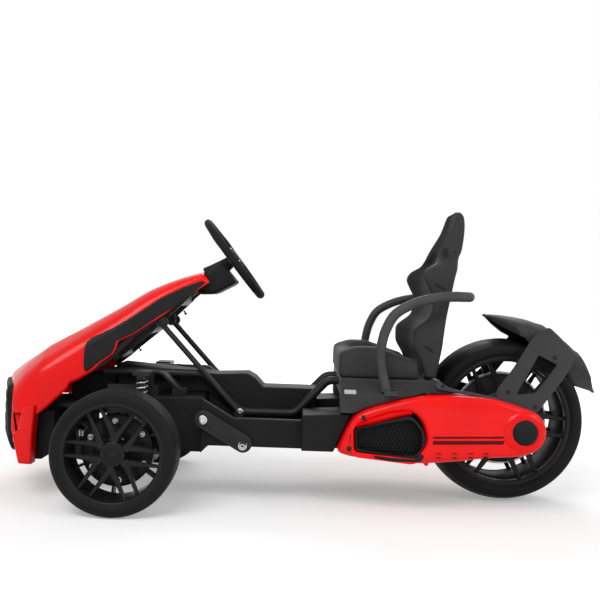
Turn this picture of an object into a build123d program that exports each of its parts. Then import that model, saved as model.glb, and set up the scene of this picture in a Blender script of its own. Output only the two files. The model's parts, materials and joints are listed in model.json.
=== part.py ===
from build123d import *
from math import asin, atan2, cos, degrees, hypot, radians, sin
import os

os.makedirs("parts", exist_ok=True)

# Child's electric racing kart, in millimetres.
# The front points along -X, the driver's left is -Y, +Z is up, Z = 0 is the ground
# and X = 0, Y = 0 is the middle of the length and of the width.

# Whole kart
WHEELBASE = 791.5
FRONT_OVERHANG = 302.5
REAR_OVERHANG = 209
LENGTH = FRONT_OVERHANG + WHEELBASE + REAR_OVERHANG
FRONT_END = -LENGTH / 2
FRONT_AXLE_X = FRONT_END + FRONT_OVERHANG
REAR_AXLE_X = FRONT_AXLE_X + WHEELBASE
REAR_END = REAR_AXLE_X + REAR_OVERHANG
OVERRUN = 5
SKIN = 4
HEX_SIDES = 6
QUARTER_TURN = 90

# Front wheels, steered
FRONT_WHEEL_WIDTH = 84
FRONT_WHEEL_OUT = 298
FRONT_RIM_R = 95.5
FRONT_TYRE_DEEP = 24.5
FRONT_WHEEL_R = FRONT_RIM_R + FRONT_TYRE_DEEP
FRONT_RIM_WALL = 6
FRONT_RIM_WIDTH = 78
FRONT_DISC_R = 70
FRONT_DISC_WIDTH = 30
FRONT_CAP_R = 18.5
FRONT_HUB_R = 24
SHOULDER = 7

# Rear wheel, driven, on the centre plane
REAR_WHEEL_WIDTH = 128
REAR_RIM_R = 137
REAR_TYRE_DEEP = 38.5
REAR_WHEEL_R = REAR_RIM_R + REAR_TYRE_DEEP
REAR_RIM_WALL = 8
REAR_RIM_WIDTH = 112
REAR_DRUM_R = 62
REAR_DRUM_WIDTH = 84
REAR_HUB_R = 30
REAR_CROWN = 15

# Spokes, in pairs of blades
SPOKE_PAIRS = 6
SPOKE_TURN = 5
SPOKE_THICK = 9
SPOKE_GAP_SHARE = 0.085
SPOKE_ROOT_SHARE = 0.155
SPOKE_TIP_GAP_SHARE = 0.115
SPOKE_TIP_SHARE = 0.055

# Axles and kingpins
SPINDLE_R = 8
PIN_R = 5
RUNNING = 0.05
KINGPIN_DEPTH = 103
KINGPIN_Y = FRONT_WHEEL_OUT - KINGPIN_DEPTH
KINGPIN_LOW = 78
KINGPIN_HIGH = 162
BOSS_R = 12
BOSS_H = 11
KNUCKLE_GAP = 0.3
KNUCKLE_R = 13
STEERING_ARM = 80
ARM_LOW = 128
ARM_THICK = 9
ARM_HALF = 7
TIE_PIN_R = 4
TIE_R = 6
TIE_EYE_R = 9
TIE_EYE_H = 11
TIE_CLEARANCE = 0.3
REAR_AXLE_R = 8
REAR_AXLE_HALF = 128
REAR_NUT_R = 12
REAR_NUT_H = 8

# Steering column
STEER_BACK = 192
STEER_X = FRONT_AXLE_X + STEER_BACK
STEER_Z = 506.5
STEER_ANGLE = 38
STEER_WHEEL_R = 97
STEER_GRIP_R = 9.5
STEER_HUB_R = 27
STEER_HUB_HALF = 11
STEER_SPOKE_HALF = 9
STEER_SPOKE_THICK = 6
STEER_SPOKE_ANGLES = (0, 120, 240)
SHAFT_R = 8
SHAFT_FOOT_BEFORE_AXLE = 129.5
SHAFT_LONG = (STEER_BACK + SHAFT_FOOT_BEFORE_AXLE) / cos(radians(STEER_ANGLE))
COLUMN_R = 13
COLUMN_TOP = 100
COLUMN_FOOT_GAP = 24
COLUMN_LONG = SHAFT_LONG - COLUMN_TOP - COLUMN_FOOT_GAP
SHAFT_SEAT = 12

# Steering box under the hood
BOX_HALF = 32
BOX_BEFORE_AXLE = 55
BOX_REAR = FRONT_AXLE_X - BOX_BEFORE_AXLE
BOX_LOW = 118
BOX_FACE = 22
WINDOW_HALF_X = 25
WINDOW_HALF_Z = 16
WINDOW_LEAD = 2
WINDOW_X = FRONT_AXLE_X - STEERING_ARM + WINDOW_LEAD

# Steering boss, black housing between the hood and the steering wheel
HOUSING_LENGTH = 84
HOUSING_HEIGHT = 72
HOUSING_BEFORE = 74
HOUSING_DROP = 81.5
HOUSING_X = STEER_X - HOUSING_BEFORE
HOUSING_Z = STEER_Z - HOUSING_DROP
HOUSING_HALF = 46
HOUSING_ROUND = 9
HOUSING_BORE = 9
HOUSING_SHARES = ((0.03, 0.0), (0.45, 0.03), (0.93, 0.34), (1.0, 0.42), (0.62, 0.93), (0.52, 0.97),
                  (0.3, 0.75),
                  (0.0, 0.3))

# Hood, red shell open below
GRILLE_THICK = 11.5
HOOD_X = FRONT_END + GRILLE_THICK
HOOD_Z = 175
HOOD_DROP = 31.5
HOOD_BEFORE = 43
HOOD_LENGTH = STEER_X - HOOD_BEFORE - HOOD_X
HOOD_HEIGHT = STEER_Z - HOOD_DROP - HOOD_Z
HOOD_HALF = 185
HOOD_END = 70
NOSE_SWEEP = 53
NOSE_REACH_SHARE = 0.25
HOOD_CROWN_SHARE = 0.02
HOOD_SIDE_SHARE = 0.7
HOOD_LEAN_SHARE = 0.8
# along the length, lower edge, top, half-width low, half-width high
HOOD_SHARES = (
    (0.00, 0.000, 0.185, 0.95, 0.60),
    (0.08, 0.000, 0.275, 0.98, 0.61),
    (0.25, 0.000, 0.465, 1.00, 0.56),
    (0.40, 0.190, 0.610, 0.88, 0.50),
    (0.565, 0.370, 0.750, 0.70, 0.43),
    (0.72, 0.590, 0.870, 0.56, 0.37),
    (0.885, 0.805, 0.975, 0.42, 0.32),
    (1.00, 0.930, 1.020, 0.34, 0.29),
)

# Black panels let into the hood's sides
PANEL_THICK = 2.5
PANEL_SHARES = (
    (0.422, 0.44), (0.441, 0.477), (0.503, 0.537), (0.612, 0.64), (0.717, 0.75), (0.763, 0.81),
    (0.868, 0.883),
    (0.958, 0.94), (0.963, 0.913), (0.878, 0.82), (0.72, 0.63), (0.643, 0.542), (0.557, 0.469),
    (0.573, 0.437),
    (0.436, 0.278), (0.425, 0.287),
)

# Black frame under the hood, which carries the column
FRAME_HALF = 58
FRAME_WALL = 5
FRAME_CROSS = 8
FRAME_SHARES = (
    (0.54, 0.325), (0.72, 0.55), (0.875, 0.775), (0.9, 0.82), (0.9, 0.9), (0.78, 0.83), (0.6, 0.62),
    (0.5, 0.5),
)
FRAME_CROSS_SHARES = (0.56, 0.71, 0.855)

# Nose: grille, red bumper, corner fins and the black carrier behind them
GRILLE_HALF = 150
GRILLE_LOW = 92
GRILLE_BEND = 131
GRILLE_LEAN = 16
GRILLE_HIGH = 228
GRILLE_ROUND = 22
GRILLE_BARS = 5
GRILLE_SLOT_HALF = 118
GRILLE_SLOT_H = 11
GRILLE_PITCH = 24
BUMPER_LENGTH = 84
BUMPER_HEIGHT = 98
BUMPER_HALF = 164
BUMPER_WALL = 6
BUMPER_SHARES = ((0.0, 1.0), (0.0, 0.55), (0.18, 0.3), (0.32, 0.0), (0.7, 0.0), (1.0, 0.9), (1.0, 1.0))
BUMPER_END_SHARES = ((0.0, 1.0), (0.0, 0.55), (0.5, 0.3), (0.75, 0.0), (0.9, 0.0), (1.0, 0.9), (1.0, 1.0))
FIN_LENGTH = 46
FIN_HEIGHT = 119
FIN_BACK = 65
FIN_X = HOOD_X + FIN_BACK
FIN_Z = 74
FIN_THICK = 32
FIN_IN = BUMPER_HALF
FIN_OUT = FIN_IN + FIN_THICK
FIN_BRACE = 20
FIN_SHARES = (
    (0.45, 0.96), (0.98, 1.0), (0.93, 0.42), (0.95, 0.0), (0.37, 0.02), (0.21, 0.24), (0.0, 0.52),
    (0.2, 0.56),
    (0.4, 0.83),
)
CARRIER_LENGTH = 56
CARRIER_HALF = 150
CARRIER_LOW = 78
CARRIER_HIGH = 178
CARRIER_CUT = 24

# Front subframe
PLATE_IN = 104
PLATE_OUT = 118
SUBFRAME_BEFORE_AXLE = 53
SUBFRAME_BEHIND_AXLE = 52
SUBFRAME_FRONT = FRONT_AXLE_X - SUBFRAME_BEFORE_AXLE
SUBFRAME_REAR = FRONT_AXLE_X + SUBFRAME_BEHIND_AXLE
SUBFRAME_TOP = 232
SUBFRAME_FLOOR = 10
SUBFRAME_DECK = 205
ARM_PLATE = 10
ARM_BASE_HALF = 46
ARM_TIP_HALF = 12
RAIL_R = 9
RAIL_Y = 111
RAIL_Z = 187
SHOCK_BACK = 24
SHOCK_X = FRONT_AXLE_X + SHOCK_BACK
SHOCK_OUT = 30
SHOCK_Y = PLATE_OUT + SHOCK_OUT
SHOCK_R = 13.5
SHOCK_CORE_R = 6
SHOCK_COILS = 6
SHOCK_TOP = 256
SHELF_THICK = 8
SHELF_HALF = 17

# Chassis tub
TUB_HALF = 150
TUB_LOW = 104
TUB_FRONT = SUBFRAME_REAR
SEAT_BEFORE_AXLE = 351.5
TUB_REAR = REAR_AXLE_X - SEAT_BEFORE_AXLE
LEDGE_TOP = 214
LEDGE_LONG = 97
LEDGE_REAR = TUB_FRONT + LEDGE_LONG
SILL_TOP = 177
SILL_WIDTH = 14
SILL_HALF = TUB_HALF + SILL_WIDTH
SILL_FRONT = LEDGE_REAR
SILL_END = 85
SILL_REAR = TUB_REAR - SILL_END
SILL_SLOPE = 65
SILL_SLOPE_REAR = LEDGE_REAR + SILL_SLOPE
SILL_LOW = 120
FLOOR_TOP = 136
RIDGE_HALF = 45
RIDGE_TOP = 165
WELL_END = 87
WELL_REAR = TUB_REAR - WELL_END
SIDE_BOX_STEP = 24
SIDE_BOX_OUT = SILL_HALF + SIDE_BOX_STEP
SIDE_BOX_IN = 76
SIDE_BOX_TOP_FRONT = 191
SIDE_BOX_TOP_REAR = 197
SIDE_BOX_GAP = 5

# Tunnel along the middle
TUNNEL_BEFORE_AXLE = 49
TUNNEL_END = 56
TUNNEL_FRONT = FRONT_AXLE_X - TUNNEL_BEFORE_AXLE
TUNNEL_REAR = TUB_REAR - TUNNEL_END
TUNNEL_HEIGHT = 56
TUNNEL_TOP = 270
TUNNEL_HALF = 44
# back along the tunnel, down from its top as a share of its height
TUNNEL_SHARES = ((0.0, 0.0), (0.5, 0.28), (0.65, 0.22), (0.69, 0.4), (0.73, 0.73), (1.0, 0.73))

# Side tubes, struts and links
TUBE_R = 9
TUBE_Y = 60
TUBE_BEFORE_AXLE = 73
TUBE_KNEE = 137
TUBE_FOOT = 220
TUBE_RISE = 103
TUBE_HIGH = 255
TUBE_LOW = 177
TUBE_FRONT = FRONT_AXLE_X - TUBE_BEFORE_AXLE
TUBE_KNEE_X = FRONT_AXLE_X + TUBE_KNEE
TUBE_FOOT_X = FRONT_AXLE_X + TUBE_FOOT
TUBE_RISE_X = TUB_REAR - TUBE_RISE
TUBE_BEND = 26
TUBE_END = 22
STRUT_Y = 80
STRUT_R = 6
STRUT_EYE_R = 10
STRUT_EYE_HALF = 7
STRUT_TOP_BACK = 47
STRUT_TOP_X = FRONT_AXLE_X + STRUT_TOP_BACK
STRUT_TOP_Z = 362
STRUT_BOLT_R = 4
LINK_THICK = 12
LINK_IN = SILL_HALF
LINK_OUT = LINK_IN + LINK_THICK
LINK_R = 18
LINK_FRONT_STEP = 6
LINK_FRONT_X = LEDGE_REAR + LINK_FRONT_STEP
LINK_FRONT_Z = 174
LINK_LONG = 81
LINK_REAR_X = LINK_FRONT_X + LINK_LONG
LINK_REAR_Z = 128
LINK_BOLT_R = 7
LINK_BOLT_H = 6

# Seat base with the battery inside
BASE_FRONT = TUB_REAR
BASE_LONG = 166
BASE_REAR = BASE_FRONT + BASE_LONG
BASE_LOW = 122
BASE_TOP = 267
BASE_STEP = 5
BASE_HALF = TUB_HALF - BASE_STEP
BASE_WALL = 5
BASE_LIP = 12
BASE_LIP_H = 34
BASE_OVER = 23
BASE_TAIL = BASE_REAR + BASE_OVER
BASE_TOP_OVER = 21
BASE_TOP_HALF = BASE_HALF + BASE_TOP_OVER
# flanks of the base: outline in side view, then how far they flare out
FLANK_BACK = 212
FLANK_TOP_GAP = 1.5
FLANK_DROP = 17
FLANK_LOW = 200
FLANK_OUT = 196
FLANK_OUT_Z = 240
BATTERY_LENGTH = 130
BATTERY_WIDTH = 151
BATTERY_HEIGHT = 95

# Seat, a bucket of cushion and back
SEAT_GAP = 0.3
CUSHION_LENGTH = 166
CUSHION_HEIGHT = 64
CUSHION_LEAD = 6
CUSHION_X = BASE_FRONT - BASE_LIP - CUSHION_LEAD
CUSHION_OVER = 2
CUSHION_HALF = BASE_TOP_HALF + CUSHION_OVER
CUSHION_DISH_HALF = 112
CUSHION_DISH_SHARE = 0.55
CUSHION_SHARES = ((0.05, 0.0), (0.0, 0.42), (0.12, 0.78), (0.27, 1.0), (0.42, 1.0), (0.8, 0.72),
                  (0.985, 0.55),
                  (0.985, 0.0))
BACK_LENGTH = 120
BACK_HEIGHT = 356
BACK_FROM_BASE = 129
BACK_X = BASE_FRONT + BACK_FROM_BASE
BACK_IN = 4
BACK_HALF = BASE_TOP_HALF - BACK_IN
BACK_DISH_SHARE = 0.45
BACK_WING_SHARE = 0.88
BACK_MIDDLE_SHARE = 0.66
# up the back, wing front, rear face, half-width
BACK_SHARES = (
    (0.000, 0.26, 0.46, 0.97),
    (0.095, 0.17, 0.51, 0.99),
    (0.200, 0.02, 0.56, 1.00),
    (0.270, 0.02, 0.58, 0.99),
    (0.370, 0.31, 0.63, 0.94),
    (0.455, 0.36, 0.68, 0.92),
    (0.540, 0.25, 0.73, 0.90),
    (0.590, 0.18, 0.76, 0.86),
    (0.650, 0.21, 0.82, 0.75),
    (0.710, 0.42, 0.88, 0.60),
    (0.760, 0.54, 0.95, 0.54),
    (0.900, 0.76, 1.00, 0.48),
    (0.965, 0.86, 0.99, 0.42),
    (1.000, 0.92, 0.97, 0.34),
)

# Hoop round the back of the seat
HOOP_R = 10
HOOP_OUT = 49
HOOP_Y = BASE_HALF + HOOP_OUT
HOOP_DROP = 24
HOOP_FOOT_Z = BASE_TOP - HOOP_DROP
# the hoop's corners: back from the seat base's front, up from the hoop's foot
HOOP_FOOT_BACK = 87
HOOP_KNEE_BACK = 69
HOOP_KNEE_UP = 112
HOOP_ARM_BACK = 99
HOOP_ARM_UP = 165
HOOP_REST_BACK = 155
HOOP_REST_UP = 187
HOOP_END_BACK = 243
HOOP_END_UP = 195
HOOP_FOOT_X = BASE_FRONT + HOOP_FOOT_BACK
HOOP_KNEE_X = BASE_FRONT + HOOP_KNEE_BACK
HOOP_KNEE_Z = HOOP_FOOT_Z + HOOP_KNEE_UP
HOOP_ARM_X = BASE_FRONT + HOOP_ARM_BACK
HOOP_ARM_Z = HOOP_FOOT_Z + HOOP_ARM_UP
HOOP_REST_X = BASE_FRONT + HOOP_REST_BACK
HOOP_REST_Z = HOOP_FOOT_Z + HOOP_REST_UP
HOOP_BACK_X = BASE_FRONT + HOOP_END_BACK
HOOP_BACK_Z = HOOP_FOOT_Z + HOOP_END_UP
HOOP_BENDS = (26, 22, 30, 45)
HOOP_CORNER = 54
HOOP_BAR_HALF = HOOP_Y - HOOP_CORNER
HOOP_FOOT_HALF = 14
HOOP_FOOT_H = 10

# Red side covers of the drive
COVER_LEAD = 18
COVER_X = BASE_FRONT - COVER_LEAD
COVER_Z = 107
COVER_END_R = 45
COVER_END_X = REAR_AXLE_X
COVER_END_Z = REAR_WHEEL_R
COVER_LENGTH = COVER_END_X + COVER_END_R - COVER_X
COVER_HEIGHT = 136
COVER_GAP = 1
COVER_IN = BASE_HALF + COVER_GAP
COVER_DEPTH = 69
COVER_OUT = COVER_IN + COVER_DEPTH
COVER_SHOULDER_SHARES = ((0.14, 0.76), (0.3, 0.91), (0.42, 1.0))
COVER_SHARES = ((0.0, 0.13), (0.08, 0.66), *COVER_SHOULDER_SHARES, (0.74, 0.98), (0.9, 0.84))
COVER_LOW_SHARES = ((0.9, 0.18), (0.72, 0.11), (0.42, 0.0), (0.33, 0.0), (0.06, 0.07))
COVER_ROUND = 9
COVER_WALL = 6
INTAKE_SHARES = ((0.09, 0.51), (0.09, 0.18), (0.385, 0.115), (0.42, 0.35), (0.4, 0.6), (0.32, 0.77),
                 (0.19, 0.7))
INTAKE_THICK = 4
CAP_RAISED_R = 40
CAP_RAISED_H = 6
CAP_ANGLE = 6
CAP_R = 25
CAP_H = 4

# Rear arms and the swing of their ends
REAR_ARM_IN = 90
REAR_ARM_OUT = 118
REAR_ARM_HALF = 21
REAR_ARM_END_R = 27

# Rear fender and its brackets
FENDER_LENGTH = 264
FENDER_HEIGHT = 166
FENDER_X = REAR_END - FENDER_LENGTH
FENDER_ABOVE_AXLE = 63.5
FENDER_Z = REAR_WHEEL_R + FENDER_ABOVE_AXLE
FENDER_HALF = 76
FENDER_WALL = 6
FENDER_GAP = 35.5
FENDER_INNER_R = REAR_WHEEL_R + FENDER_GAP
FENDER_TOP_SHARES = (
    (0.0, 0.985), (0.19, 0.985), (0.39, 0.94), (0.49, 0.89), (0.6, 0.785), (0.7, 0.68), (0.8, 0.535),
    (0.91, 0.31),
    (0.96, 0.13), (1.0, 0.0),
)
FENDER_LOW_SHARES = ((0.745, 0.11), (0.68, 0.31), (0.6, 0.45), (0.5, 0.6), (0.33, 0.66), (0.2, 0.66))
BRACKET_TOP_Y = FENDER_HALF
BRACKET_THICK = 6
BRACKET_FOOT_Y = COVER_IN - BRACKET_THICK
BRACKET_Z = 205
BRACKET_HEIGHT = 179
BRACKET_LENGTH = 170
BRACKET_LEAD = 40.5
BRACKET_X = REAR_AXLE_X - BRACKET_LEAD
BRACKET_SHARES = (
    (0.0, 0.24), (0.0, 0.1), (0.48, 0.0), (0.9, 0.466), (1.01, 0.642), (0.858, 0.844), (0.705, 0.985),
    (0.507, 0.88),
    (0.225, 0.49),
)
BRACKET_WINDOW_SHARES = ((0.459, 0.212), (0.762, 0.555), (0.583, 0.654), (0.268, 0.215))
# webs between the bracket and the fender's skirt: their centres along and up the bracket
BRACKET_WEB_SHARES = ((0.68, 0.82), (0.92, 0.57))
BRACKET_WEB_HALF = 7
BRACKET_FOOT_HALF = 30
BRACKET_FOOT_H = 34
BRACKET_FOOT_LEAD = 10.5
BRACKET_FOOT_X = REAR_AXLE_X - BRACKET_FOOT_LEAD

# Pedals
PEDAL_Y = 98
PEDAL_HALF = 24
PEDAL_LONG = 58
PEDAL_THICK = 8
PEDAL_BACK = 97
PEDAL_X = FRONT_AXLE_X + PEDAL_BACK
PEDAL_ANGLE = 42
PEDAL_FOOT = 14
PEDAL_FOOT_LONG = 30


def spots(shares, x, z, length, height):
    """Points of a side outline, from shares of a piece's length and height."""
    return [(x + along * length, z + up * height) for along, up in shares]


def side(y=0):
    """Plane of a side view at a width of y; its normal points to -Y."""
    return Plane.XZ.offset(-y)


def flat(x, z, axis):
    """Plane across the wheel's radius: local x runs along the axle, local y up."""
    return Plane(origin=(x, 0, z), x_dir=(0, 1, 0), z_dir=axis)


def about_y(x, z):
    """Axle line through a wheel's centre."""
    return Axis((x, 0, z), (0, 1, 0))


# Steering axis: local z runs up the column towards the driver
STEER_DIR = (cos(radians(STEER_ANGLE)), 0, sin(radians(STEER_ANGLE)))


def column(distance=0):
    """Plane square to the column, at a distance down from the steering wheel's centre."""
    centre = (STEER_X - distance * STEER_DIR[0], 0, STEER_Z - distance * STEER_DIR[2])
    return Plane(origin=centre, x_dir=(0, 1, 0), z_dir=STEER_DIR)


carrier_x = HOOD_X + BUMPER_LENGTH
box_front = carrier_x + CARRIER_LENGTH
FRONT_WHEEL_Y = FRONT_WHEEL_OUT - FRONT_WHEEL_WIDTH / 2
FRONT_AXLE_Z = FRONT_WHEEL_R
REAR_AXLE_Z = REAR_WHEEL_R
SIDES = (("left", -1), ("right", 1))

# Front tyres and rims
for name, way in SIDES:
    middle = way * FRONT_WHEEL_Y
    half = FRONT_WHEEL_WIDTH / 2
    rim_half = FRONT_RIM_WIDTH / 2
    shoulder_r = FRONT_WHEEL_R - SHOULDER
    bead_r = FRONT_RIM_R + SHOULDER
    with BuildPart() as tyre:
        with BuildSketch(flat(FRONT_AXLE_X, FRONT_AXLE_Z, (1, 0, 0))):
            Polygon(
                (middle - rim_half, FRONT_RIM_R), (middle + rim_half, FRONT_RIM_R),
                (middle + half, bead_r), (middle + half, shoulder_r),
                (middle + half - SHOULDER, FRONT_WHEEL_R), (middle - half + SHOULDER, FRONT_WHEEL_R),
                (middle - half, shoulder_r), (middle - half, bead_r),
                align=None,
            )
        revolve(axis=about_y(FRONT_AXLE_X, FRONT_AXLE_Z))
    tyre.part.label = "tyre_front_" + name
    export_step(tyre.part, "parts/tyre_front_" + name + ".step")

    outer = middle + way * rim_half
    web = outer - way * SHOULDER
    inner = middle - way * rim_half
    disc_out = inner + way * FRONT_DISC_WIDTH
    barrel_r = FRONT_RIM_R - FRONT_RIM_WALL
    spoke_plane = Plane(
        origin=(FRONT_AXLE_X, web, FRONT_AXLE_Z), x_dir=(1, 0, 0), z_dir=(0, -way, 0)
    )
    with BuildPart() as rim:
        with BuildSketch(flat(FRONT_AXLE_X, FRONT_AXLE_Z, (1, 0, 0))):
            Polygon(
                (inner, barrel_r), (outer, barrel_r), (outer, FRONT_RIM_R), (inner, FRONT_RIM_R), align=None
            )
            Polygon(
                (inner, SPINDLE_R + RUNNING), (web, SPINDLE_R + RUNNING), (web, 0), (outer, 0),
                (outer, FRONT_CAP_R), (web, FRONT_HUB_R), (disc_out, FRONT_HUB_R),
                (disc_out, FRONT_DISC_R), (inner, FRONT_DISC_R), align=None
            )
        revolve(axis=about_y(FRONT_AXLE_X, FRONT_AXLE_Z))
        with BuildSketch(spoke_plane):
            with PolarLocations(0, SPOKE_PAIRS, start_angle=SPOKE_TURN):
                for hand in (-1, 1):
                    Polygon(
                        (SPINDLE_R * 2, hand * SPOKE_GAP_SHARE * barrel_r),
                        (SPINDLE_R * 2, hand * (SPOKE_GAP_SHARE + SPOKE_ROOT_SHARE) * barrel_r),
                        (barrel_r + RUNNING, hand * (SPOKE_TIP_GAP_SHARE + SPOKE_TIP_SHARE) * barrel_r),
                        (barrel_r + RUNNING, hand * SPOKE_TIP_GAP_SHARE * barrel_r),
                        align=None,
                    )
        extrude(amount=SPOKE_THICK)
    rim.part.label = "rim_front_" + name
    export_step(rim.part, "parts/rim_front_" + name + ".step")

# Rear tyre, crowned, and its rim with spokes on both faces
rear_half = REAR_WHEEL_WIDTH / 2
rear_rim_half = REAR_RIM_WIDTH / 2
rear_shoulder_r = REAR_WHEEL_R - REAR_CROWN
rear_bead_r = REAR_RIM_R + SHOULDER
with BuildPart() as tyre_rear:
    with BuildSketch(flat(REAR_AXLE_X, REAR_AXLE_Z, (1, 0, 0))):
        with BuildLine():
            Polyline(
                (rear_half, rear_shoulder_r), (rear_half, rear_bead_r), (rear_rim_half, REAR_RIM_R),
                (-rear_rim_half, REAR_RIM_R), (-rear_half, rear_bead_r), (-rear_half, rear_shoulder_r),
            )
            ThreePointArc((-rear_half, rear_shoulder_r), (0, REAR_WHEEL_R), (rear_half, rear_shoulder_r))
        make_face()
    revolve(axis=about_y(REAR_AXLE_X, REAR_AXLE_Z))
tyre_rear.part.label = "tyre_rear"
export_step(tyre_rear.part, "parts/tyre_rear.step")

rear_barrel_r = REAR_RIM_R - REAR_RIM_WALL
rear_web = rear_rim_half - SHOULDER
with BuildPart() as rim_rear:
    with BuildSketch(flat(REAR_AXLE_X, REAR_AXLE_Z, (1, 0, 0))):
        Polygon(
            (-rear_rim_half, rear_barrel_r), (rear_rim_half, rear_barrel_r),
            (rear_rim_half, REAR_RIM_R), (-rear_rim_half, REAR_RIM_R), align=None
        )
        Polygon(
            (-rear_web, REAR_AXLE_R + RUNNING), (rear_web, REAR_AXLE_R + RUNNING), (rear_web, REAR_HUB_R),
            (REAR_DRUM_WIDTH / 2, REAR_DRUM_R), (-REAR_DRUM_WIDTH / 2, REAR_DRUM_R),
            (-rear_web, REAR_HUB_R), align=None
        )
    revolve(axis=about_y(REAR_AXLE_X, REAR_AXLE_Z))
    for way in (-1, 1):
        spoke_plane = Plane(
            origin=(REAR_AXLE_X, way * rear_web, REAR_AXLE_Z), x_dir=(1, 0, 0), z_dir=(0, -way, 0)
        )
        with BuildSketch(spoke_plane):
            with PolarLocations(0, SPOKE_PAIRS, start_angle=SPOKE_TURN):
                for hand in (-1, 1):
                    Polygon(
                        (REAR_AXLE_R * 2, hand * SPOKE_GAP_SHARE * rear_barrel_r),
                        (REAR_AXLE_R * 2, hand * (SPOKE_GAP_SHARE + SPOKE_ROOT_SHARE) * rear_barrel_r),
                        (rear_barrel_r + RUNNING,
                         hand * (SPOKE_TIP_GAP_SHARE + SPOKE_TIP_SHARE) * rear_barrel_r),
                        (rear_barrel_r + RUNNING, hand * SPOKE_TIP_GAP_SHARE * rear_barrel_r),
                        align=None,
                    )
        extrude(amount=SPOKE_THICK)
rim_rear.part.label = "rim_rear"
export_step(rim_rear.part, "parts/rim_rear.step")

# Rear axle with its nuts, fixed in the arms
with BuildPart() as rear_axle:
    with BuildSketch(side()):
        with Locations((REAR_AXLE_X, REAR_AXLE_Z)):
            Circle(REAR_AXLE_R)
    extrude(amount=REAR_AXLE_HALF, both=True)
    for way in (-1, 1):
        with BuildSketch(side(way * REAR_ARM_OUT)):
            with Locations((REAR_AXLE_X, REAR_AXLE_Z)):
                RegularPolygon(REAR_NUT_R, HEX_SIDES)
        extrude(amount=-way * REAR_NUT_H)
rear_axle.part.label = "rear_axle"
export_step(rear_axle.part, "parts/rear_axle.step")

# Rear arms, from the seat base to the axle
for name, way in SIDES:
    with BuildPart() as rear_arm:
        with BuildSketch(side(way * REAR_ARM_IN)):
            Polygon(
                (BASE_REAR, REAR_AXLE_Z - REAR_ARM_HALF), (REAR_AXLE_X, REAR_AXLE_Z - REAR_ARM_HALF),
                (REAR_AXLE_X, REAR_AXLE_Z + REAR_ARM_HALF), (BASE_REAR, REAR_AXLE_Z + REAR_ARM_HALF),
                align=None,
            )
            with Locations((REAR_AXLE_X, REAR_AXLE_Z)):
                Circle(REAR_ARM_END_R)
                Circle(REAR_AXLE_R, mode=Mode.SUBTRACT)
        extrude(amount=-way * (REAR_ARM_OUT - REAR_ARM_IN))
    rear_arm.part.label = "rear_arm_" + name
    export_step(rear_arm.part, "parts/rear_arm_" + name + ".step")

# Knuckles: barrel on the kingpin, spindle outwards, steering arm forwards with its pin
for name, way in SIDES:
    pin_y = way * KINGPIN_Y
    barrel_low = KINGPIN_LOW + BOSS_H + KNUCKLE_GAP
    barrel_high = KINGPIN_HIGH - BOSS_H - KNUCKLE_GAP
    spindle_end = way * (FRONT_WHEEL_Y + FRONT_RIM_WIDTH / 2 - SHOULDER) - way * KNUCKLE_GAP
    with BuildPart() as knuckle:
        with BuildSketch(Plane.XY.offset(barrel_low)):
            with Locations((FRONT_AXLE_X, pin_y)):
                Circle(KNUCKLE_R)
        extrude(amount=barrel_high - barrel_low)
        with BuildSketch(side(pin_y)):
            with Locations((FRONT_AXLE_X, FRONT_AXLE_Z)):
                Circle(SPINDLE_R)
        extrude(amount=pin_y - spindle_end)
        with BuildSketch(Plane.XY.offset(ARM_LOW)):
            with Locations((FRONT_AXLE_X - STEERING_ARM / 2, pin_y)):
                Rectangle(STEERING_ARM, 2 * ARM_HALF)
            with Locations((FRONT_AXLE_X - STEERING_ARM, pin_y)):
                Circle(TIE_EYE_R)
        extrude(amount=ARM_THICK)
        with BuildSketch(Plane.XY.offset(ARM_LOW + ARM_THICK)):
            with Locations((FRONT_AXLE_X - STEERING_ARM, pin_y)):
                Circle(TIE_PIN_R)
        extrude(amount=TIE_EYE_H + 2 * KNUCKLE_GAP)
        with BuildSketch(Plane.XY.offset(barrel_low)):
            with Locations((FRONT_AXLE_X, pin_y)):
                Circle(PIN_R + RUNNING)
        extrude(amount=barrel_high - barrel_low, mode=Mode.SUBTRACT)
    knuckle.part.label = "knuckle_" + name
    export_step(knuckle.part, "parts/knuckle_" + name + ".step")

# Track rod between the two arms' pins
tie_x = FRONT_AXLE_X - STEERING_ARM
tie_low = ARM_LOW + ARM_THICK + KNUCKLE_GAP
tie_z = tie_low + TIE_EYE_H / 2
with BuildPart() as track_rod:
    with BuildSketch(Plane.XZ.offset(-KINGPIN_Y + TIE_EYE_R / 2)):
        with Locations((tie_x, tie_z)):
            Circle(TIE_R - KNUCKLE_GAP)
    extrude(amount=2 * KINGPIN_Y - TIE_EYE_R)
    with BuildSketch(Plane.XY.offset(tie_low)):
        with Locations((tie_x, -KINGPIN_Y), (tie_x, KINGPIN_Y)):
            Circle(TIE_EYE_R)
    extrude(amount=TIE_EYE_H)
    with BuildSketch(Plane.XY.offset(tie_low)):
        with Locations((tie_x, -KINGPIN_Y)):
            Circle(TIE_PIN_R + RUNNING)
        with Locations((tie_x, KINGPIN_Y)):
            Circle(TIE_PIN_R + TIE_CLEARANCE)
    extrude(amount=TIE_EYE_H, mode=Mode.SUBTRACT)
track_rod.part.label = "track_rod"
export_step(track_rod.part, "parts/track_rod.step")

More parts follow.
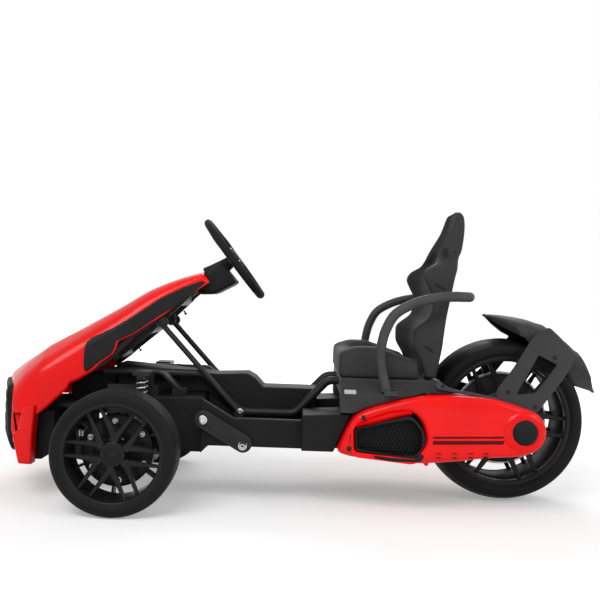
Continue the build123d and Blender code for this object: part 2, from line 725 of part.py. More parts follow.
# Steering wheel: ring, three spokes and hub
with BuildPart() as steering_wheel:
    with BuildSketch(Plane(origin=column().origin, x_dir=(0, 1, 0), z_dir=column().y_dir)):
        with Locations((STEER_WHEEL_R, 0)):
            Circle(STEER_GRIP_R)
    revolve(axis=Axis(column().origin, column().z_dir))
    with BuildSketch(column(STEER_HUB_HALF)):
        Circle(STEER_HUB_R)
    extrude(amount=2 * STEER_HUB_HALF)
    with BuildSketch(column(STEER_SPOKE_THICK / 2)):
        for angle in STEER_SPOKE_ANGLES:
            with PolarLocations(STEER_WHEEL_R / 2, 1, start_angle=angle - QUARTER_TURN):
                Rectangle(STEER_WHEEL_R - STEER_GRIP_R / 2, 2 * STEER_SPOKE_HALF)
    extrude(amount=STEER_SPOKE_THICK)
steering_wheel.part.label = "steering_wheel"
export_step(steering_wheel.part, "parts/steering_wheel.step")

# Shaft below the hub, fixed column round it
with BuildPart() as steering_shaft:
    with BuildSketch(column(SHAFT_LONG)):
        Circle(SHAFT_R)
    extrude(amount=SHAFT_LONG - STEER_HUB_HALF)
steering_shaft.part.label = "steering_shaft"
export_step(steering_shaft.part, "parts/steering_shaft.step")

with BuildPart() as column_tube:
    with BuildSketch(column(COLUMN_TOP + COLUMN_LONG)):
        Circle(COLUMN_R)
        Circle(SHAFT_R + RUNNING, mode=Mode.SUBTRACT)
    extrude(amount=COLUMN_LONG)
column_tube.part.label = "column_tube"
export_step(column_tube.part, "parts/column_tube.step")

# Steering box: its slanted face takes the shaft's foot, the track rod runs through its window
face = column(SHAFT_LONG - SHAFT_SEAT)
face_high = face.origin + face.y_dir * BOX_FACE
face_low = face.origin - face.y_dir * BOX_FACE
if face_high.Z < face_low.Z:
    face_high, face_low = face_low, face_high
with BuildPart() as steering_box:
    with BuildSketch(side()):
        Polygon(
            (box_front, BOX_LOW), (BOX_REAR, BOX_LOW), (BOX_REAR, face_low.Z), (face_low.X, face_low.Z),
            (face_high.X, face_high.Z), (box_front, face_high.Z), align=None
        )
    extrude(amount=BOX_HALF, both=True)
    with BuildSketch(side()):
        with Locations((WINDOW_X, tie_z)):
            Rectangle(2 * WINDOW_HALF_X, 2 * WINDOW_HALF_Z)
    extrude(amount=BOX_HALF + OVERRUN, both=True, mode=Mode.SUBTRACT)
    with BuildSketch(column(SHAFT_LONG + RUNNING)):
        Circle(SHAFT_R + RUNNING)
    extrude(amount=SHAFT_SEAT * 2, mode=Mode.SUBTRACT)
steering_box.part.label = "steering_box"
export_step(steering_box.part, "parts/steering_box.step")

def swept_back(across):
    """How far the nose lies behind its tip, at a distance from the middle."""
    return NOSE_SWEEP * across / GRILLE_HALF


def hood_half(shares, start, wider, higher, deeper, way):
    """Half section of the hood on its own slanted plane, from the middle out over the top."""
    along, low, top, half_low, half_high = shares
    z_low = HOOD_Z + low * HOOD_HEIGHT - deeper
    z_top = HOOD_Z + top * HOOD_HEIGHT + higher
    z_side = z_low + deeper + HOOD_SIDE_SHARE * (z_top - z_low - deeper)
    z_edge = z_top - HOOD_CROWN_SHARE * HOOD_HEIGHT
    y_low = half_low * HOOD_HALF + wider
    y_high = half_high * HOOD_HALF + wider
    y_side = y_low - (1 - HOOD_LEAN_SHARE) * (y_low - y_high)
    slant = swept_back(1) * max(0, 1 - along / NOSE_REACH_SHARE)
    plane = Plane(origin=(start, 0, 0), x_dir=(slant, way, 0), z_dir=(way, -slant, 0))
    stretch = hypot(1, slant)
    points = [(0, z_low), (y_low, z_low), (y_side, z_side), (y_high, z_edge), (0, z_top)]
    with BuildSketch(plane) as half:
        Polygon(*[(y * stretch, z) for y, z in points], align=None)
    return half.sketch


def hood_body(wider, higher, deeper, inset=0, overrun=0):
    """Both halves of the hood's form, which meet in the middle."""
    with BuildPart() as both:
        for way in (-1, 1):
            with BuildPart() as one:
                for row, x in zip(HOOD_SHARES, HOOD_STATIONS):
                    start = x + inset if row is HOOD_SHARES[0] else x
                    start = start + overrun if row is HOOD_SHARES[-1] else start
                    add(hood_half(row, start, wider, higher, deeper, way))
                loft(ruled=True)
            add(one.part)
    return both.part


HOOD_STATIONS = [HOOD_X + row[0] * HOOD_LENGTH for row in HOOD_SHARES]

# Solid form of the hood, used again where the side panels and the frame meet it
with BuildPart() as hood_form:
    add(hood_body(0, 0, 0))
    split(bisect_by=column(HOOD_END), keep=Keep.BOTTOM)

with BuildPart() as hood:
    add(hood_form.part)
    add(hood_body(-SKIN, -SKIN, OVERRUN, SKIN, OVERRUN), mode=Mode.SUBTRACT)
hood.part.label = "hood"
export_step(hood.part, "parts/hood.step")

# Steering boss with the shaft through it
with BuildPart() as steering_boss:
    with BuildSketch(side()):
        Polygon(*spots(HOUSING_SHARES, HOUSING_X, HOUSING_Z, HOUSING_LENGTH, HOUSING_HEIGHT), align=None)
    extrude(amount=HOUSING_HALF, both=True)
    fillet(steering_boss.edges().filter_by(Axis.Y), HOUSING_ROUND / 2)
    add(hood_form.part, mode=Mode.SUBTRACT)
    with BuildSketch(column(COLUMN_TOP)):
        Circle(HOUSING_BORE)
    extrude(amount=COLUMN_TOP, mode=Mode.SUBTRACT)
steering_boss.part.label = "steering_boss"
export_step(steering_boss.part, "parts/steering_boss.step")

# Side panels, the skin between the hood and a slightly wider form
with BuildPart() as hood_side_panels:
    add(hood_body(PANEL_THICK, 0, 0))
    with BuildSketch(side()):
        Polygon(*spots(PANEL_SHARES, HOOD_X, HOOD_Z, HOOD_LENGTH, HOOD_HEIGHT), align=None)
    extrude(amount=HOOD_HALF + PANEL_THICK + OVERRUN, both=True, mode=Mode.INTERSECT)
    add(hood_form.part, mode=Mode.SUBTRACT)
hood_side_panels.part.label = "hood_side_panels"
export_step(hood_side_panels.part, "parts/hood_side_panels.step")

# Frame under the hood: two rails and cross pieces round the column
with BuildPart() as hood_frame:
    frame_points = spots(FRAME_SHARES, HOOD_X, HOOD_Z, HOOD_LENGTH, HOOD_HEIGHT)
    for way in (-1, 1):
        with BuildSketch(side(way * FRAME_HALF)):
            Polygon(*frame_points, align=None)
        extrude(amount=-way * FRAME_WALL)
    for share in FRAME_CROSS_SHARES:
        with BuildSketch(Plane.YZ.offset(HOOD_X + share * HOOD_LENGTH)):
            with Locations((0, HOOD_Z + HOOD_HEIGHT / 2)):
                Rectangle(2 * FRAME_HALF + 2 * OVERRUN, HOOD_HEIGHT)
        extrude(amount=FRAME_CROSS)
    with BuildSketch(side()):
        Polygon(*frame_points, align=None)
    extrude(amount=FRAME_HALF + FRAME_WALL, both=True, mode=Mode.INTERSECT)
    with BuildSketch(column(COLUMN_TOP + COLUMN_LONG + OVERRUN)):
        Circle(COLUMN_R)
    extrude(amount=COLUMN_LONG + 2 * OVERRUN, mode=Mode.SUBTRACT)
    for way in (-1, 1):
        with BuildSketch(side(way * (FRAME_HALF + FRAME_WALL))):
            with Locations((STRUT_TOP_X, STRUT_TOP_Z)):
                Circle(STRUT_EYE_R)
            Polygon(
                (STRUT_TOP_X - STRUT_EYE_R, STRUT_TOP_Z), (STRUT_TOP_X + STRUT_EYE_R, STRUT_TOP_Z),
                (STRUT_TOP_X + STRUT_EYE_R, STRUT_TOP_Z + 3 * STRUT_EYE_R),
                (STRUT_TOP_X - STRUT_EYE_R, STRUT_TOP_Z + 3 * STRUT_EYE_R), align=None
            )
        extrude(amount=way * FRAME_WALL)
hood_frame.part.label = "hood_frame"
export_step(hood_frame.part, "parts/hood_frame.step")

# Grille on the very front, an arrow in plan that leans back below, with cross slots
with BuildPart() as nose_grille:
    for way in (-1, 1):
        for across in (0, GRILLE_HALF):
            front = FRONT_END + swept_back(across)
            with BuildSketch(side(way * across)):
                Polygon(
                    (front, GRILLE_HIGH), (front, GRILLE_BEND), (front + GRILLE_LEAN, GRILLE_LOW),
                    (front + GRILLE_LEAN + GRILLE_THICK, GRILLE_LOW), (front + GRILLE_THICK, GRILLE_BEND),
                    (front + GRILLE_THICK, GRILLE_HIGH), align=None
                )
        loft(ruled=True)
    with BuildSketch(Plane.YZ.offset(FRONT_END)):
        with Locations((0, (GRILLE_LOW + GRILLE_HIGH) / 2)):
            RectangleRounded(2 * GRILLE_HALF, GRILLE_HIGH - GRILLE_LOW, GRILLE_ROUND)
            with GridLocations(0, GRILLE_PITCH, 1, GRILLE_BARS):
                SlotOverall(2 * GRILLE_SLOT_HALF, GRILLE_SLOT_H, mode=Mode.SUBTRACT)
    extrude(amount=GRILLE_THICK + NOSE_SWEEP + GRILLE_LEAN, mode=Mode.INTERSECT)
nose_grille.part.label = "nose_grille"
export_step(nose_grille.part, "parts/nose_grille.step")

# Red bumper under the hood's front, a shell open behind, swept back to its ends
bumper_z = HOOD_Z - BUMPER_HEIGHT
with BuildPart() as front_bumper:
    for wall, mode in ((0, Mode.ADD), (BUMPER_WALL, Mode.SUBTRACT)):
        half = BUMPER_HALF - wall
        end_front = HOOD_X + swept_back(half) + wall
        end_long = BUMPER_LENGTH - swept_back(half)
        for way in (-1, 1):
            with BuildSketch(side()):
                Polygon(*spots(BUMPER_SHARES, HOOD_X + wall, bumper_z + wall, BUMPER_LENGTH, BUMPER_HEIGHT),
                        align=None)
            with BuildSketch(side(way * half)):
                Polygon(*spots(BUMPER_END_SHARES, end_front, bumper_z + wall, end_long, BUMPER_HEIGHT),
                        align=None)
            loft(ruled=True, mode=mode)
front_bumper.part.label = "front_bumper"
export_step(front_bumper.part, "parts/front_bumper.step")

# Corner fins, bolted against the bumper's ends
with BuildPart() as bumper_corners:
    fin_points = spots(FIN_SHARES, FIN_X, FIN_Z, FIN_LENGTH, FIN_HEIGHT)
    for way in (-1, 1):
        with BuildSketch(side(way * FIN_IN)):
            Polygon(*fin_points, align=None)
            Polygon(
                (carrier_x - FIN_BRACE, FIN_Z + FIN_HEIGHT / 3),
                (carrier_x + FIN_BRACE / 2, FIN_Z + FIN_HEIGHT / 3),
                (carrier_x + FIN_BRACE / 2, FIN_Z + FIN_HEIGHT / 2),
                (carrier_x - FIN_BRACE, FIN_Z + FIN_HEIGHT / 2), align=None
            )
        extrude(amount=-way * (FIN_OUT - FIN_IN))
    add(hood_form.part, mode=Mode.SUBTRACT)
bumper_corners.part.label = "bumper_corners"
export_step(bumper_corners.part, "parts/bumper_corners.step")

# Black carrier behind the bumper, an open frame
with BuildPart() as nose_carrier:
    with BuildSketch(side()):
        Polygon(
            (carrier_x, CARRIER_LOW), (carrier_x + CARRIER_LENGTH - CARRIER_CUT, CARRIER_LOW),
            (carrier_x + CARRIER_LENGTH, CARRIER_LOW + CARRIER_CUT),
            (carrier_x + CARRIER_LENGTH, CARRIER_HIGH),
            (carrier_x, CARRIER_HIGH), align=None
        )
    extrude(amount=CARRIER_HALF, both=True)
    with BuildSketch(Plane.XY.offset(CARRIER_LOW + SKIN)):
        with Locations((carrier_x + CARRIER_LENGTH / 2, 0)):
            Rectangle(CARRIER_LENGTH - 2 * SKIN, 2 * (CARRIER_HALF - SKIN))
    extrude(amount=CARRIER_HIGH, mode=Mode.SUBTRACT)
    with BuildSketch(Plane.YZ.offset(carrier_x + CARRIER_LENGTH - SKIN)):
        with Locations((RAIL_Y, RAIL_Z), (-RAIL_Y, RAIL_Z)):
            Circle(RAIL_R * 2)
    extrude(amount=SKIN)
nose_carrier.part.label = "nose_carrier"
export_step(nose_carrier.part, "parts/nose_carrier.step")

# Subframe: side plates, floor, deck, arms to the kingpins, kingpins and rails to the nose
with BuildPart() as front_subframe:
    middle_x = (SUBFRAME_FRONT + SUBFRAME_REAR) / 2
    plate_long = SUBFRAME_REAR - SUBFRAME_FRONT
    for way in (-1, 1):
        with BuildSketch(side(way * PLATE_IN)):
            with Locations((middle_x, (KINGPIN_LOW + SUBFRAME_TOP) / 2)):
                Rectangle(plate_long, SUBFRAME_TOP - KINGPIN_LOW)
        extrude(amount=-way * (PLATE_OUT - PLATE_IN))
    for level in (KINGPIN_LOW, SUBFRAME_DECK - SUBFRAME_FLOOR):
        with BuildSketch(Plane.XY.offset(level)):
            with Locations((middle_x, 0)):
                Rectangle(plate_long, 2 * PLATE_IN)
        extrude(amount=SUBFRAME_FLOOR)
    for level in (KINGPIN_LOW, KINGPIN_HIGH - ARM_PLATE):
        for way in (-1, 1):
            with BuildSketch(Plane.XY.offset(level)):
                Polygon(
                    (FRONT_AXLE_X - ARM_BASE_HALF, way * PLATE_IN),
                    (FRONT_AXLE_X + ARM_BASE_HALF, way * PLATE_IN),
                    (FRONT_AXLE_X + ARM_TIP_HALF, way * KINGPIN_Y),
                    (FRONT_AXLE_X - ARM_TIP_HALF, way * KINGPIN_Y),
                    align=None
                )
                with Locations((FRONT_AXLE_X, way * KINGPIN_Y)):
                    Circle(BOSS_R)
            extrude(amount=ARM_PLATE)
    with BuildSketch(Plane.XY.offset(KINGPIN_LOW)):
        with Locations((FRONT_AXLE_X, KINGPIN_Y), (FRONT_AXLE_X, -KINGPIN_Y)):
            Circle(PIN_R)
    extrude(amount=KINGPIN_HIGH - KINGPIN_LOW)
    with BuildSketch(Plane.XY.offset(KINGPIN_LOW)):
        with Locations((FRONT_AXLE_X, KINGPIN_Y), (FRONT_AXLE_X, -KINGPIN_Y)):
            Circle(BOSS_R)
    extrude(amount=BOSS_H)
    with BuildSketch(Plane.XY.offset(KINGPIN_HIGH - BOSS_H)):
        with Locations((FRONT_AXLE_X, KINGPIN_Y), (FRONT_AXLE_X, -KINGPIN_Y)):
            Circle(BOSS_R)
    extrude(amount=BOSS_H)
    with BuildSketch(Plane.XY.offset(SHOCK_TOP)):
        for way in (-1, 1):
            Polygon(
                (SHOCK_X - SHELF_HALF, way * PLATE_IN), (SHOCK_X + SHELF_HALF, way * PLATE_IN),
                (SHOCK_X + SHELF_HALF, way * (SHOCK_Y + SHOCK_R)),
                (SHOCK_X - SHELF_HALF, way * (SHOCK_Y + SHOCK_R)), align=None
            )
    extrude(amount=SHELF_THICK)
    for way in (-1, 1):
        with BuildSketch(side(way * PLATE_IN)):
            with Locations((SHOCK_X, (SUBFRAME_DECK + SHOCK_TOP + SHELF_THICK) / 2)):
                Rectangle(2 * SHELF_HALF, SHOCK_TOP + SHELF_THICK - SUBFRAME_DECK)
        extrude(amount=-way * (PLATE_OUT - PLATE_IN))
    with BuildSketch(Plane.YZ.offset(carrier_x + CARRIER_LENGTH)):
        with Locations((RAIL_Y, RAIL_Z), (-RAIL_Y, RAIL_Z)):
            Circle(RAIL_R)
    extrude(amount=SUBFRAME_FRONT - carrier_x - CARRIER_LENGTH)
    with BuildSketch(Plane.XY.offset(SUBFRAME_DECK - SUBFRAME_FLOOR)):
        Polygon(
            (BOX_REAR, BOX_HALF + OVERRUN), (SUBFRAME_FRONT, BOX_HALF + OVERRUN),
            (SUBFRAME_FRONT, -BOX_HALF - OVERRUN), (BOX_REAR, -BOX_HALF - OVERRUN), align=None
        )
    extrude(amount=SUBFRAME_FLOOR)
front_subframe.part.label = "front_subframe"
export_step(front_subframe.part, "parts/front_subframe.step")

# Shock absorbers with their springs, as stacked rings round a rod
shock_low = KINGPIN_HIGH
coil_pitch = (SHOCK_TOP - shock_low) / SHOCK_COILS
with BuildPart() as shocks:
    for way in (-1, 1):
        with BuildSketch(Plane.XY.offset(shock_low)):
            with Locations((SHOCK_X, way * SHOCK_Y)):
                Circle(SHOCK_CORE_R)
        extrude(amount=SHOCK_TOP - shock_low)
        for coil in range(SHOCK_COILS):
            with BuildSketch(Plane.XY.offset(shock_low + coil * coil_pitch)):
                with Locations((SHOCK_X, way * SHOCK_Y)):
                    Circle(SHOCK_R)
            extrude(amount=coil_pitch / 2)
shocks.part.label = "shocks"
export_step(shocks.part, "parts/shocks.step")

# Tub: ledge in front, two foot wells, sills and side boxes behind
cover_edge_low = COVER_X + COVER_SHARES[0][0] * COVER_LENGTH - SIDE_BOX_GAP
cover_edge_high = COVER_X + COVER_SHARES[1][0] * COVER_LENGTH - SIDE_BOX_GAP
with BuildPart() as chassis_tub:
    with BuildSketch(side()):
        Polygon(
            (TUB_FRONT, TUB_LOW), (SILL_FRONT, TUB_LOW), (SILL_FRONT, LEDGE_TOP), (TUB_FRONT, LEDGE_TOP),
            align=None
        )
    extrude(amount=TUB_HALF, both=True)
    with BuildSketch(side()):
        Polygon(
            (SILL_FRONT, TUB_LOW), (SILL_FRONT + FLOOR_TOP - SILL_LOW, SILL_LOW), (TUB_REAR, SILL_LOW),
            (TUB_REAR, FLOOR_TOP), (SILL_FRONT, FLOOR_TOP), align=None
        )
    extrude(amount=TUB_HALF - SKIN, both=True)
    with BuildSketch(side()):
        Polygon(
            (LEDGE_REAR, FLOOR_TOP), (TUB_REAR, FLOOR_TOP), (TUB_REAR, RIDGE_TOP),
            (SILL_SLOPE_REAR, RIDGE_TOP),
            (LEDGE_REAR, LEDGE_TOP), align=None
        )
    extrude(amount=RIDGE_HALF, both=True)
    with BuildSketch(Plane.XY.offset(FLOOR_TOP)):
        for way in (-1, 1):
            Polygon(
                (LEDGE_REAR, way * RIDGE_HALF), (WELL_REAR, way * RIDGE_HALF),
                (WELL_REAR, way * TUB_HALF), (LEDGE_REAR, way * TUB_HALF), align=None
            )
    extrude(amount=LEDGE_TOP, mode=Mode.SUBTRACT)
    for way in (-1, 1):
        with BuildSketch(side(way * (TUB_HALF - SKIN))):
            Polygon(
                (SILL_FRONT, TUB_LOW), (SILL_FRONT + FLOOR_TOP - SILL_LOW, SILL_LOW), (SILL_REAR, SILL_LOW),
                (SILL_REAR, SILL_TOP), (SILL_SLOPE_REAR, SILL_TOP), (LEDGE_REAR, LEDGE_TOP),
                (LEDGE_REAR, TUB_LOW),
                align=None
            )
        extrude(amount=-way * (SILL_HALF - TUB_HALF + SKIN))
        with BuildSketch(side(way * SIDE_BOX_IN)):
            Polygon(
                (WELL_REAR, SILL_LOW), (cover_edge_low, SILL_LOW), (cover_edge_high, SIDE_BOX_TOP_REAR),
                (WELL_REAR, SIDE_BOX_TOP_FRONT), align=None
            )
        extrude(amount=-way * (SIDE_BOX_OUT - SIDE_BOX_IN))
        with BuildSketch(Plane.XY.offset(SILL_LOW)):
            Polygon(
                (BASE_FRONT, way * SIDE_BOX_IN), (BASE_REAR, way * SIDE_BOX_IN),
                (BASE_REAR, way * COVER_IN), (BASE_FRONT, way * COVER_IN), align=None
            )
        extrude(amount=SIDE_BOX_TOP_REAR, mode=Mode.SUBTRACT)
chassis_tub.part.label = "chassis_tub"
export_step(chassis_tub.part, "parts/chassis_tub.step")

# Tunnel on the subframe's deck, the ledge and the ridge
tunnel_top = []
for along, down in TUNNEL_SHARES:
    tunnel_x = TUNNEL_FRONT + along * (TUNNEL_REAR - TUNNEL_FRONT)
    tunnel_top.append((tunnel_x, TUNNEL_TOP - down * TUNNEL_HEIGHT))
with BuildPart() as tunnel:
    with BuildSketch(side()):
        Polygon(
            *tunnel_top, (TUNNEL_REAR, RIDGE_TOP), (SILL_SLOPE_REAR, RIDGE_TOP), (LEDGE_REAR, LEDGE_TOP),
            (TUB_FRONT, LEDGE_TOP), (TUB_FRONT, SUBFRAME_DECK), (TUNNEL_FRONT, SUBFRAME_DECK), align=None
        )
    extrude(amount=TUNNEL_HALF, both=True)
tunnel.part.label = "tunnel"
export_step(tunnel.part, "parts/tunnel.step")

# Side tubes, from the front to the seat base, with a lug for the strut's foot
tube_path = (
    (TUBE_FRONT, TUBE_HIGH), (TUBE_KNEE_X, TUBE_HIGH), (TUBE_FOOT_X, TUBE_LOW), (TUBE_RISE_X, TUBE_LOW),
    (BASE_FRONT - BASE_LIP - TUBE_END, TUBE_HIGH - TUBE_R / 2),
    (BASE_FRONT - BASE_LIP, TUBE_HIGH - TUBE_R / 2),
)
with BuildPart() as side_tubes:
    for way in (-1, 1):
        with BuildLine(side(way * TUBE_Y)) as tube_line:
            FilletPolyline(*tube_path, radius=TUBE_BEND)
        with BuildSketch(Plane(origin=tube_line.line @ 0, z_dir=tube_line.line % 0)):
            Circle(TUBE_R)
        sweep(path=tube_line.line)
        with BuildSketch(side(way * TUBE_Y)):
            with Locations((TUBE_FOOT_X, TUBE_LOW)):
                Circle(TUBE_R)
        extrude(amount=-way * (STRUT_Y - STRUT_EYE_HALF - TUBE_Y))
side_tubes.part.label = "side_tubes"
export_step(side_tubes.part, "parts/side_tubes.step")

# Struts that hold up the hood's frame
strut_run = hypot(TUBE_FOOT_X - STRUT_TOP_X, STRUT_TOP_Z - TUBE_LOW)
strut_dir = ((TUBE_FOOT_X - STRUT_TOP_X) / strut_run, 0, (TUBE_LOW - STRUT_TOP_Z) / strut_run)
with BuildPart() as hood_struts:
    for way in (-1, 1):
        with BuildSketch(Plane(origin=(STRUT_TOP_X, way * STRUT_Y, STRUT_TOP_Z), z_dir=strut_dir)):
            Circle(STRUT_R)
        extrude(amount=strut_run)
        with BuildSketch(side(way * (STRUT_Y - STRUT_EYE_HALF))):
            with Locations((STRUT_TOP_X, STRUT_TOP_Z), (TUBE_FOOT_X, TUBE_LOW)):
                Circle(STRUT_EYE_R)
        extrude(amount=-way * 2 * STRUT_EYE_HALF)
        with BuildSketch(side(way * (FRAME_HALF + FRAME_WALL))):
            with Locations((STRUT_TOP_X, STRUT_TOP_Z)):
                Circle(STRUT_BOLT_R)
        extrude(amount=-way * (STRUT_Y - FRAME_HALF - FRAME_WALL))
hood_struts.part.label = "hood_struts"
export_step(hood_struts.part, "parts/hood_struts.step")

# Links on the tub's sides, with two bolts each
with BuildPart() as frame_links:
    link_run = hypot(LINK_REAR_X - LINK_FRONT_X, LINK_REAR_Z - LINK_FRONT_Z)
    link_turn = degrees(atan2(LINK_REAR_Z - LINK_FRONT_Z, LINK_REAR_X - LINK_FRONT_X))
    link_middle = Location(((LINK_FRONT_X + LINK_REAR_X) / 2, (LINK_FRONT_Z + LINK_REAR_Z) / 2), link_turn)
    for way in (-1, 1):
        with BuildSketch(side(way * LINK_IN)):
            with Locations(link_middle):
                SlotCenterToCenter(link_run, 2 * LINK_R)
        extrude(amount=-way * (LINK_OUT - LINK_IN))
        with BuildSketch(side(way * LINK_OUT)):
            with Locations((LINK_FRONT_X, LINK_FRONT_Z), (LINK_REAR_X, LINK_REAR_Z)):
                RegularPolygon(LINK_BOLT_R, HEX_SIDES)
        extrude(amount=-way * LINK_BOLT_H)
frame_links.part.label = "frame_links"
export_step(frame_links.part, "parts/frame_links.step")

# Seat base, hollow and open in front, and the battery that stands on its floor
hoop_rise = (HOOP_KNEE_X - HOOP_FOOT_X, 0, HOOP_KNEE_Z - HOOP_FOOT_Z)
cover_front_low = (COVER_X + COVER_SHARES[1][0] * COVER_LENGTH, FLANK_LOW)
cover_shoulder = spots(COVER_SHOULDER_SHARES, COVER_X, COVER_Z + FLANK_TOP_GAP, COVER_LENGTH, COVER_HEIGHT)
flank_back = BASE_FRONT + FLANK_BACK
with BuildPart() as flanks:
    with BuildSketch(Plane.YZ.offset(BASE_FRONT - BASE_LIP)):
        for way in (-1, 1):
            Polygon(
                (way * (BASE_HALF - BASE_WALL), FLANK_LOW), (way * FLANK_OUT, FLANK_LOW),
                (way * FLANK_OUT, FLANK_OUT_Z), (way * BASE_TOP_HALF, BASE_TOP - BASE_WALL),
                (way * BASE_TOP_HALF, BASE_TOP), (way * (BASE_HALF - BASE_WALL), BASE_TOP), align=None
            )
    extrude(amount=flank_back - BASE_FRONT + BASE_LIP)
    with BuildSketch(side()):
        Polygon(
            (BASE_FRONT - BASE_LIP, FLANK_LOW), cover_front_low, *cover_shoulder,
            (flank_back, COVER_Z + COVER_HEIGHT + FLANK_TOP_GAP), (flank_back, BASE_TOP - FLANK_DROP),
            (BASE_TAIL, BASE_TOP), (BASE_FRONT - BASE_LIP, BASE_TOP), align=None
        )
    extrude(amount=FLANK_OUT, both=True, mode=Mode.INTERSECT)
with BuildPart() as seat_base:
    with BuildSketch(side()):
        Polygon(
            (BASE_FRONT, BASE_LOW), (BASE_REAR, BASE_LOW), (BASE_REAR, BASE_TOP),
            (BASE_FRONT - BASE_LIP, BASE_TOP),
            (BASE_FRONT - BASE_LIP, BASE_TOP - BASE_LIP_H), (BASE_FRONT, BASE_TOP - BASE_LIP_H), align=None
        )
    extrude(amount=BASE_HALF, both=True)
    with BuildSketch(Plane.XY.offset(BASE_TOP - BASE_WALL)):
        Polygon(
            (BASE_FRONT - BASE_LIP, BASE_TOP_HALF), (BASE_TAIL, BASE_TOP_HALF), (BASE_TAIL, -BASE_TOP_HALF),
            (BASE_FRONT - BASE_LIP, -BASE_TOP_HALF), align=None
        )
    extrude(amount=BASE_WALL)
    with BuildSketch(Plane.YZ.offset(BASE_FRONT)):
        with Locations((0, (BASE_LOW + BASE_TOP) / 2)):
            Rectangle(2 * (BASE_HALF - BASE_WALL), BASE_TOP - BASE_LOW - 2 * BASE_WALL)
    extrude(amount=BASE_REAR - BASE_FRONT - BASE_WALL, mode=Mode.SUBTRACT)
    add(flanks.part)
    for way in (-1, 1):
        with BuildSketch(side(way * (BASE_HALF - BASE_WALL))):
            with Locations((HOOP_FOOT_X, HOOP_FOOT_Z)):
                Rectangle(2 * HOOP_FOOT_HALF, HOOP_FOOT_H)
        extrude(amount=-way * (HOOP_Y + HOOP_FOOT_HALF - BASE_HALF + BASE_WALL))
        with BuildSketch(Plane(origin=(HOOP_FOOT_X, way * HOOP_Y, HOOP_FOOT_Z), z_dir=hoop_rise)):
            Circle(HOOP_R)
        extrude(amount=HOOP_FOOT_H * 3, mode=Mode.SUBTRACT)
seat_base.part.label = "seat_base"
export_step(seat_base.part, "parts/seat_base.step")

with BuildPart() as battery:
    with BuildSketch(Plane.XY.offset(BASE_LOW + BASE_WALL)):
        with Locations(((BASE_FRONT + BASE_REAR) / 2, 0)):
            Rectangle(BATTERY_LENGTH, BATTERY_WIDTH)
    extrude(amount=BATTERY_HEIGHT)
battery.part.label = "battery"
export_step(battery.part, "parts/battery.step")

# Seat cushion, dished along the middle
with BuildPart() as seat_cushion:
    cushion_points = spots(CUSHION_SHARES, CUSHION_X, BASE_TOP + SEAT_GAP, CUSHION_LENGTH, CUSHION_HEIGHT)
    with BuildSketch(side()):
        Polygon(*cushion_points, align=None)
    extrude(amount=CUSHION_HALF, both=True)
    with BuildSketch(side()):
        Polygon(
            (CUSHION_X - OVERRUN, BASE_TOP + CUSHION_HEIGHT),
            (CUSHION_X + CUSHION_LENGTH / 3, BASE_TOP + CUSHION_HEIGHT *
             CUSHION_DISH_SHARE), (CUSHION_X + CUSHION_LENGTH + OVERRUN, BASE_TOP + CUSHION_HEIGHT / 3),
            (CUSHION_X + CUSHION_LENGTH + OVERRUN, BASE_TOP + CUSHION_HEIGHT + OVERRUN),
            (CUSHION_X - OVERRUN, BASE_TOP + CUSHION_HEIGHT + OVERRUN), align=None
        )
    extrude(amount=CUSHION_DISH_HALF, both=True, mode=Mode.SUBTRACT)
seat_cushion.part.label = "seat_cushion"
export_step(seat_cushion.part, "parts/seat_cushion.step")


def back_ring(shares):
    """Section of the seat back at one height: rear face, wings in front, dished middle."""
    up, wing, rear, half = shares
    x_wing = BACK_X + wing * BACK_LENGTH
    x_rear = BACK_X + rear * BACK_LENGTH
    x_middle = x_wing + BACK_DISH_SHARE * (x_rear - x_wing)
    y_out = half * BACK_HALF
    y_wing = y_out * BACK_WING_SHARE
    y_middle = y_out * BACK_MIDDLE_SHARE
    return [
        (x_rear, -y_out), (x_wing, -y_out), (x_wing, -y_wing), (x_middle, -y_middle),
        (x_middle, y_middle), (x_wing, y_wing), (x_wing, y_out), (x_rear, y_out),
    ]


with BuildPart() as seat_back:
    for row in BACK_SHARES:
        with BuildSketch(Plane.XY.offset(BASE_TOP + SEAT_GAP + row[0] * BACK_HEIGHT)):
            Polygon(*back_ring(row), align=None)
    loft(ruled=True)
seat_back.part.label = "seat_back"
export_step(seat_back.part, "parts/seat_back.step")

# Hoop, one tube from foot to foot round the back of the seat
hoop_left = [
    (HOOP_FOOT_X, -HOOP_Y, HOOP_FOOT_Z), (HOOP_KNEE_X, -HOOP_Y, HOOP_KNEE_Z),
    (HOOP_ARM_X, -HOOP_Y, HOOP_ARM_Z),
    (HOOP_REST_X, -HOOP_Y, HOOP_REST_Z), (HOOP_BACK_X, -HOOP_Y, HOOP_BACK_Z),
]
with BuildPart() as seat_hoop:
    with BuildLine() as hoop_line:
        FilletPolyline(*hoop_left, (HOOP_BACK_X, -HOOP_BAR_HALF, HOOP_BACK_Z), radius=list(HOOP_BENDS))
    with BuildSketch(Plane(origin=hoop_line.line @ 0, z_dir=hoop_line.line % 0)):
        Circle(HOOP_R)
    sweep(path=hoop_line.line)
    mirror(about=Plane.XZ)
    with BuildSketch(side()):
        with Locations((HOOP_BACK_X, HOOP_BACK_Z)):
            Circle(HOOP_R)
    extrude(amount=HOOP_BAR_HALF, both=True)
seat_hoop.part.label = "seat_hoop"
export_step(seat_hoop.part, "parts/seat_hoop.step")

